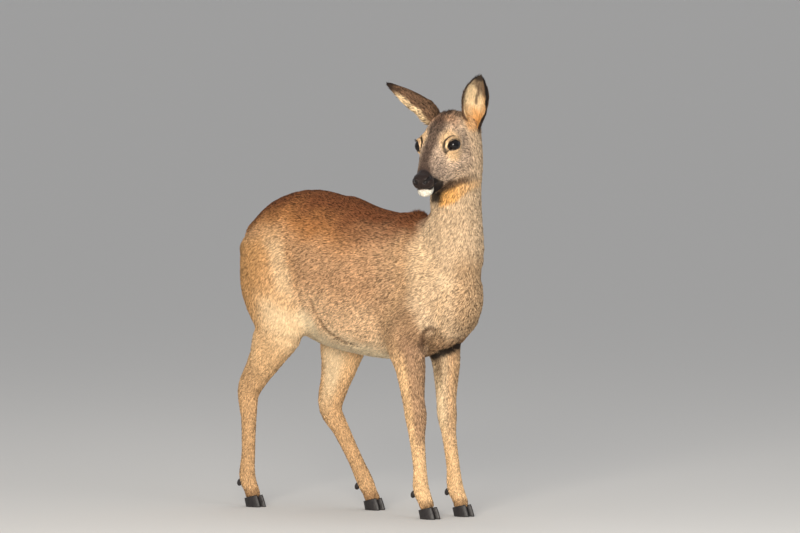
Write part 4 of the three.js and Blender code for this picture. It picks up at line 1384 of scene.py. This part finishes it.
def skin_material():
    """The painted colours, finely grained, and glossy only where the skin is bare."""
    m = Nodes("skin")
    grain = m.noise(900)
    return m.shade(
        Base_Color=m.times(m.attribute("coat"), m.spread(grain, 0.3, 0.7, 0.72, 1.12)),
        Roughness=m.spread(m.attribute("bare", "Fac"), 0, 1, 0.9, 0.3),
        Specular_IOR_Level=0.36,
        IOR=1.45,
        Normal=m.bump(grain, 0.0006),
    )


def horn_material():
    m = Nodes("horn")
    grain = m.noise(140)
    colour = m.times(BLACK.tolist(), m.spread(grain, 0.3, 0.7, 0.6, 1.7))
    return m.shade(Base_Color=colour, Roughness=0.5, Normal=m.bump(grain, 0.0008))


def painted_material(name, **inputs):
    """The painted colours as they are."""
    m = Nodes(name)
    return m.shade(Base_Color=m.attribute("coat"), **inputs)


def plain_material(name, colour, roughness):
    return Nodes(name).shade(Base_Color=(*colour, 1), Roughness=roughness)


SKIN_MATERIAL = skin_material()
COAT_MATERIAL = painted_material("coat", Roughness=0.7, Specular_IOR_Level=0.15)
HORN_MATERIAL = horn_material()
EYE_MATERIAL = painted_material("eye", Roughness=0.04, IOR=1.376)


def make_deer():
    skin = make_skin()
    at = Places(points_of(skin.data))
    # painted shade: the skin is darkened under the hair, but not where it is bare
    set_colours(skin, markings(at) * mix(SKIN_SHADE, 1, at.bare())[:, None])
    set_bare(skin, at.bare())
    finish(skin, SKIN_MATERIAL, "coat", *PARTS)
    grow_coat(skin, at)
    make_ears()
    make_eyes()
    make_hooves()
    make_lashes()


# ---- Stage


def look_from(place, target):
    """The matrix of a camera or lamp at a place, facing a target."""
    back = unit(place - target)
    right = unit(np.cross(vec(0, 0, 1), back))
    columns = np.stack([right, np.cross(back, right), back], 1)
    matrix = Matrix(columns.tolist()).to_4x4()
    matrix.translation = place.tolist()
    return matrix


CAMERA_TURN, CAMERA_RISE, CAMERA_AWAY = radians(42), radians(3), 20000
CAMERA_AIM = (91.7, 564.65, 46)  # right of, above and towards the camera from the deer's origin
LENS, SENSOR = 391.3, 36
FLOOR_REACH = 90
LAMPS = [  # name, place, width, power, colour
    ("key", vec(2.6, -3.9, 1.45), 1.7, 236, (1, 0.94, 0.85)),
    ("fill", vec(3.8, -0.6, 1.6), 3.0, 45, (0.92, 0.96, 1)),
    ("top", vec(-1.2, 1.2, 4.2), 2.6, 22, (1, 0.98, 0.95)),
]


def make_camera():
    flat = cos(CAMERA_RISE)
    toward = vec(sin(CAMERA_TURN) * flat, -cos(CAMERA_TURN) * flat, sin(CAMERA_RISE))
    right = vec(cos(CAMERA_TURN), sin(CAMERA_TURN), 0)
    aside, up, nearer = CAMERA_AIM
    target = aside * right + up * np.cross(toward, right) + nearer * toward
    lens = bpy.data.cameras.new("camera")
    lens.lens, lens.sensor_width = LENS, SENSOR
    camera = add_object("camera", lens)
    camera.matrix_world = look_from(to_frame(target + CAMERA_AWAY * toward), to_frame(target))
    bpy.context.scene.camera = camera


def make_stage():
    """A pale floor, three soft lamps and a pale world. Only the key lamp shows in the eyes."""
    corners = [(FLOOR_REACH * x, FLOOR_REACH * y, 0) for x, y in ((-1, -1), (1, -1), (1, 1), (-1, 1))]
    floor = mesh_object("floor", corners, [[0, 1, 2, 3]])
    floor.data.materials.append(plain_material("floor", paint(206, 203, 198), 0.9))
    for name, place, width, power, tint in LAMPS:
        light = bpy.data.lights.new(name, "AREA")
        light.shape = "DISK"
        light.size, light.energy, light.color = width, power, tint
        lamp = add_object(name, light)
        lamp.visible_glossy = name == "key"
        lamp.matrix_world = look_from(place, vec(0, 0, 0.5))
    world = bpy.data.worlds.new("studio")
    world.use_nodes = True
    air = world.node_tree.nodes["Background"].inputs
    air["Color"].default_value = (0.88, 0.9, 0.94, 1)
    air["Strength"].default_value = 0.6
    bpy.context.scene.world = world
    bpy.context.scene.view_settings.view_transform = "Standard"


make_deer()
make_camera()
make_stage()
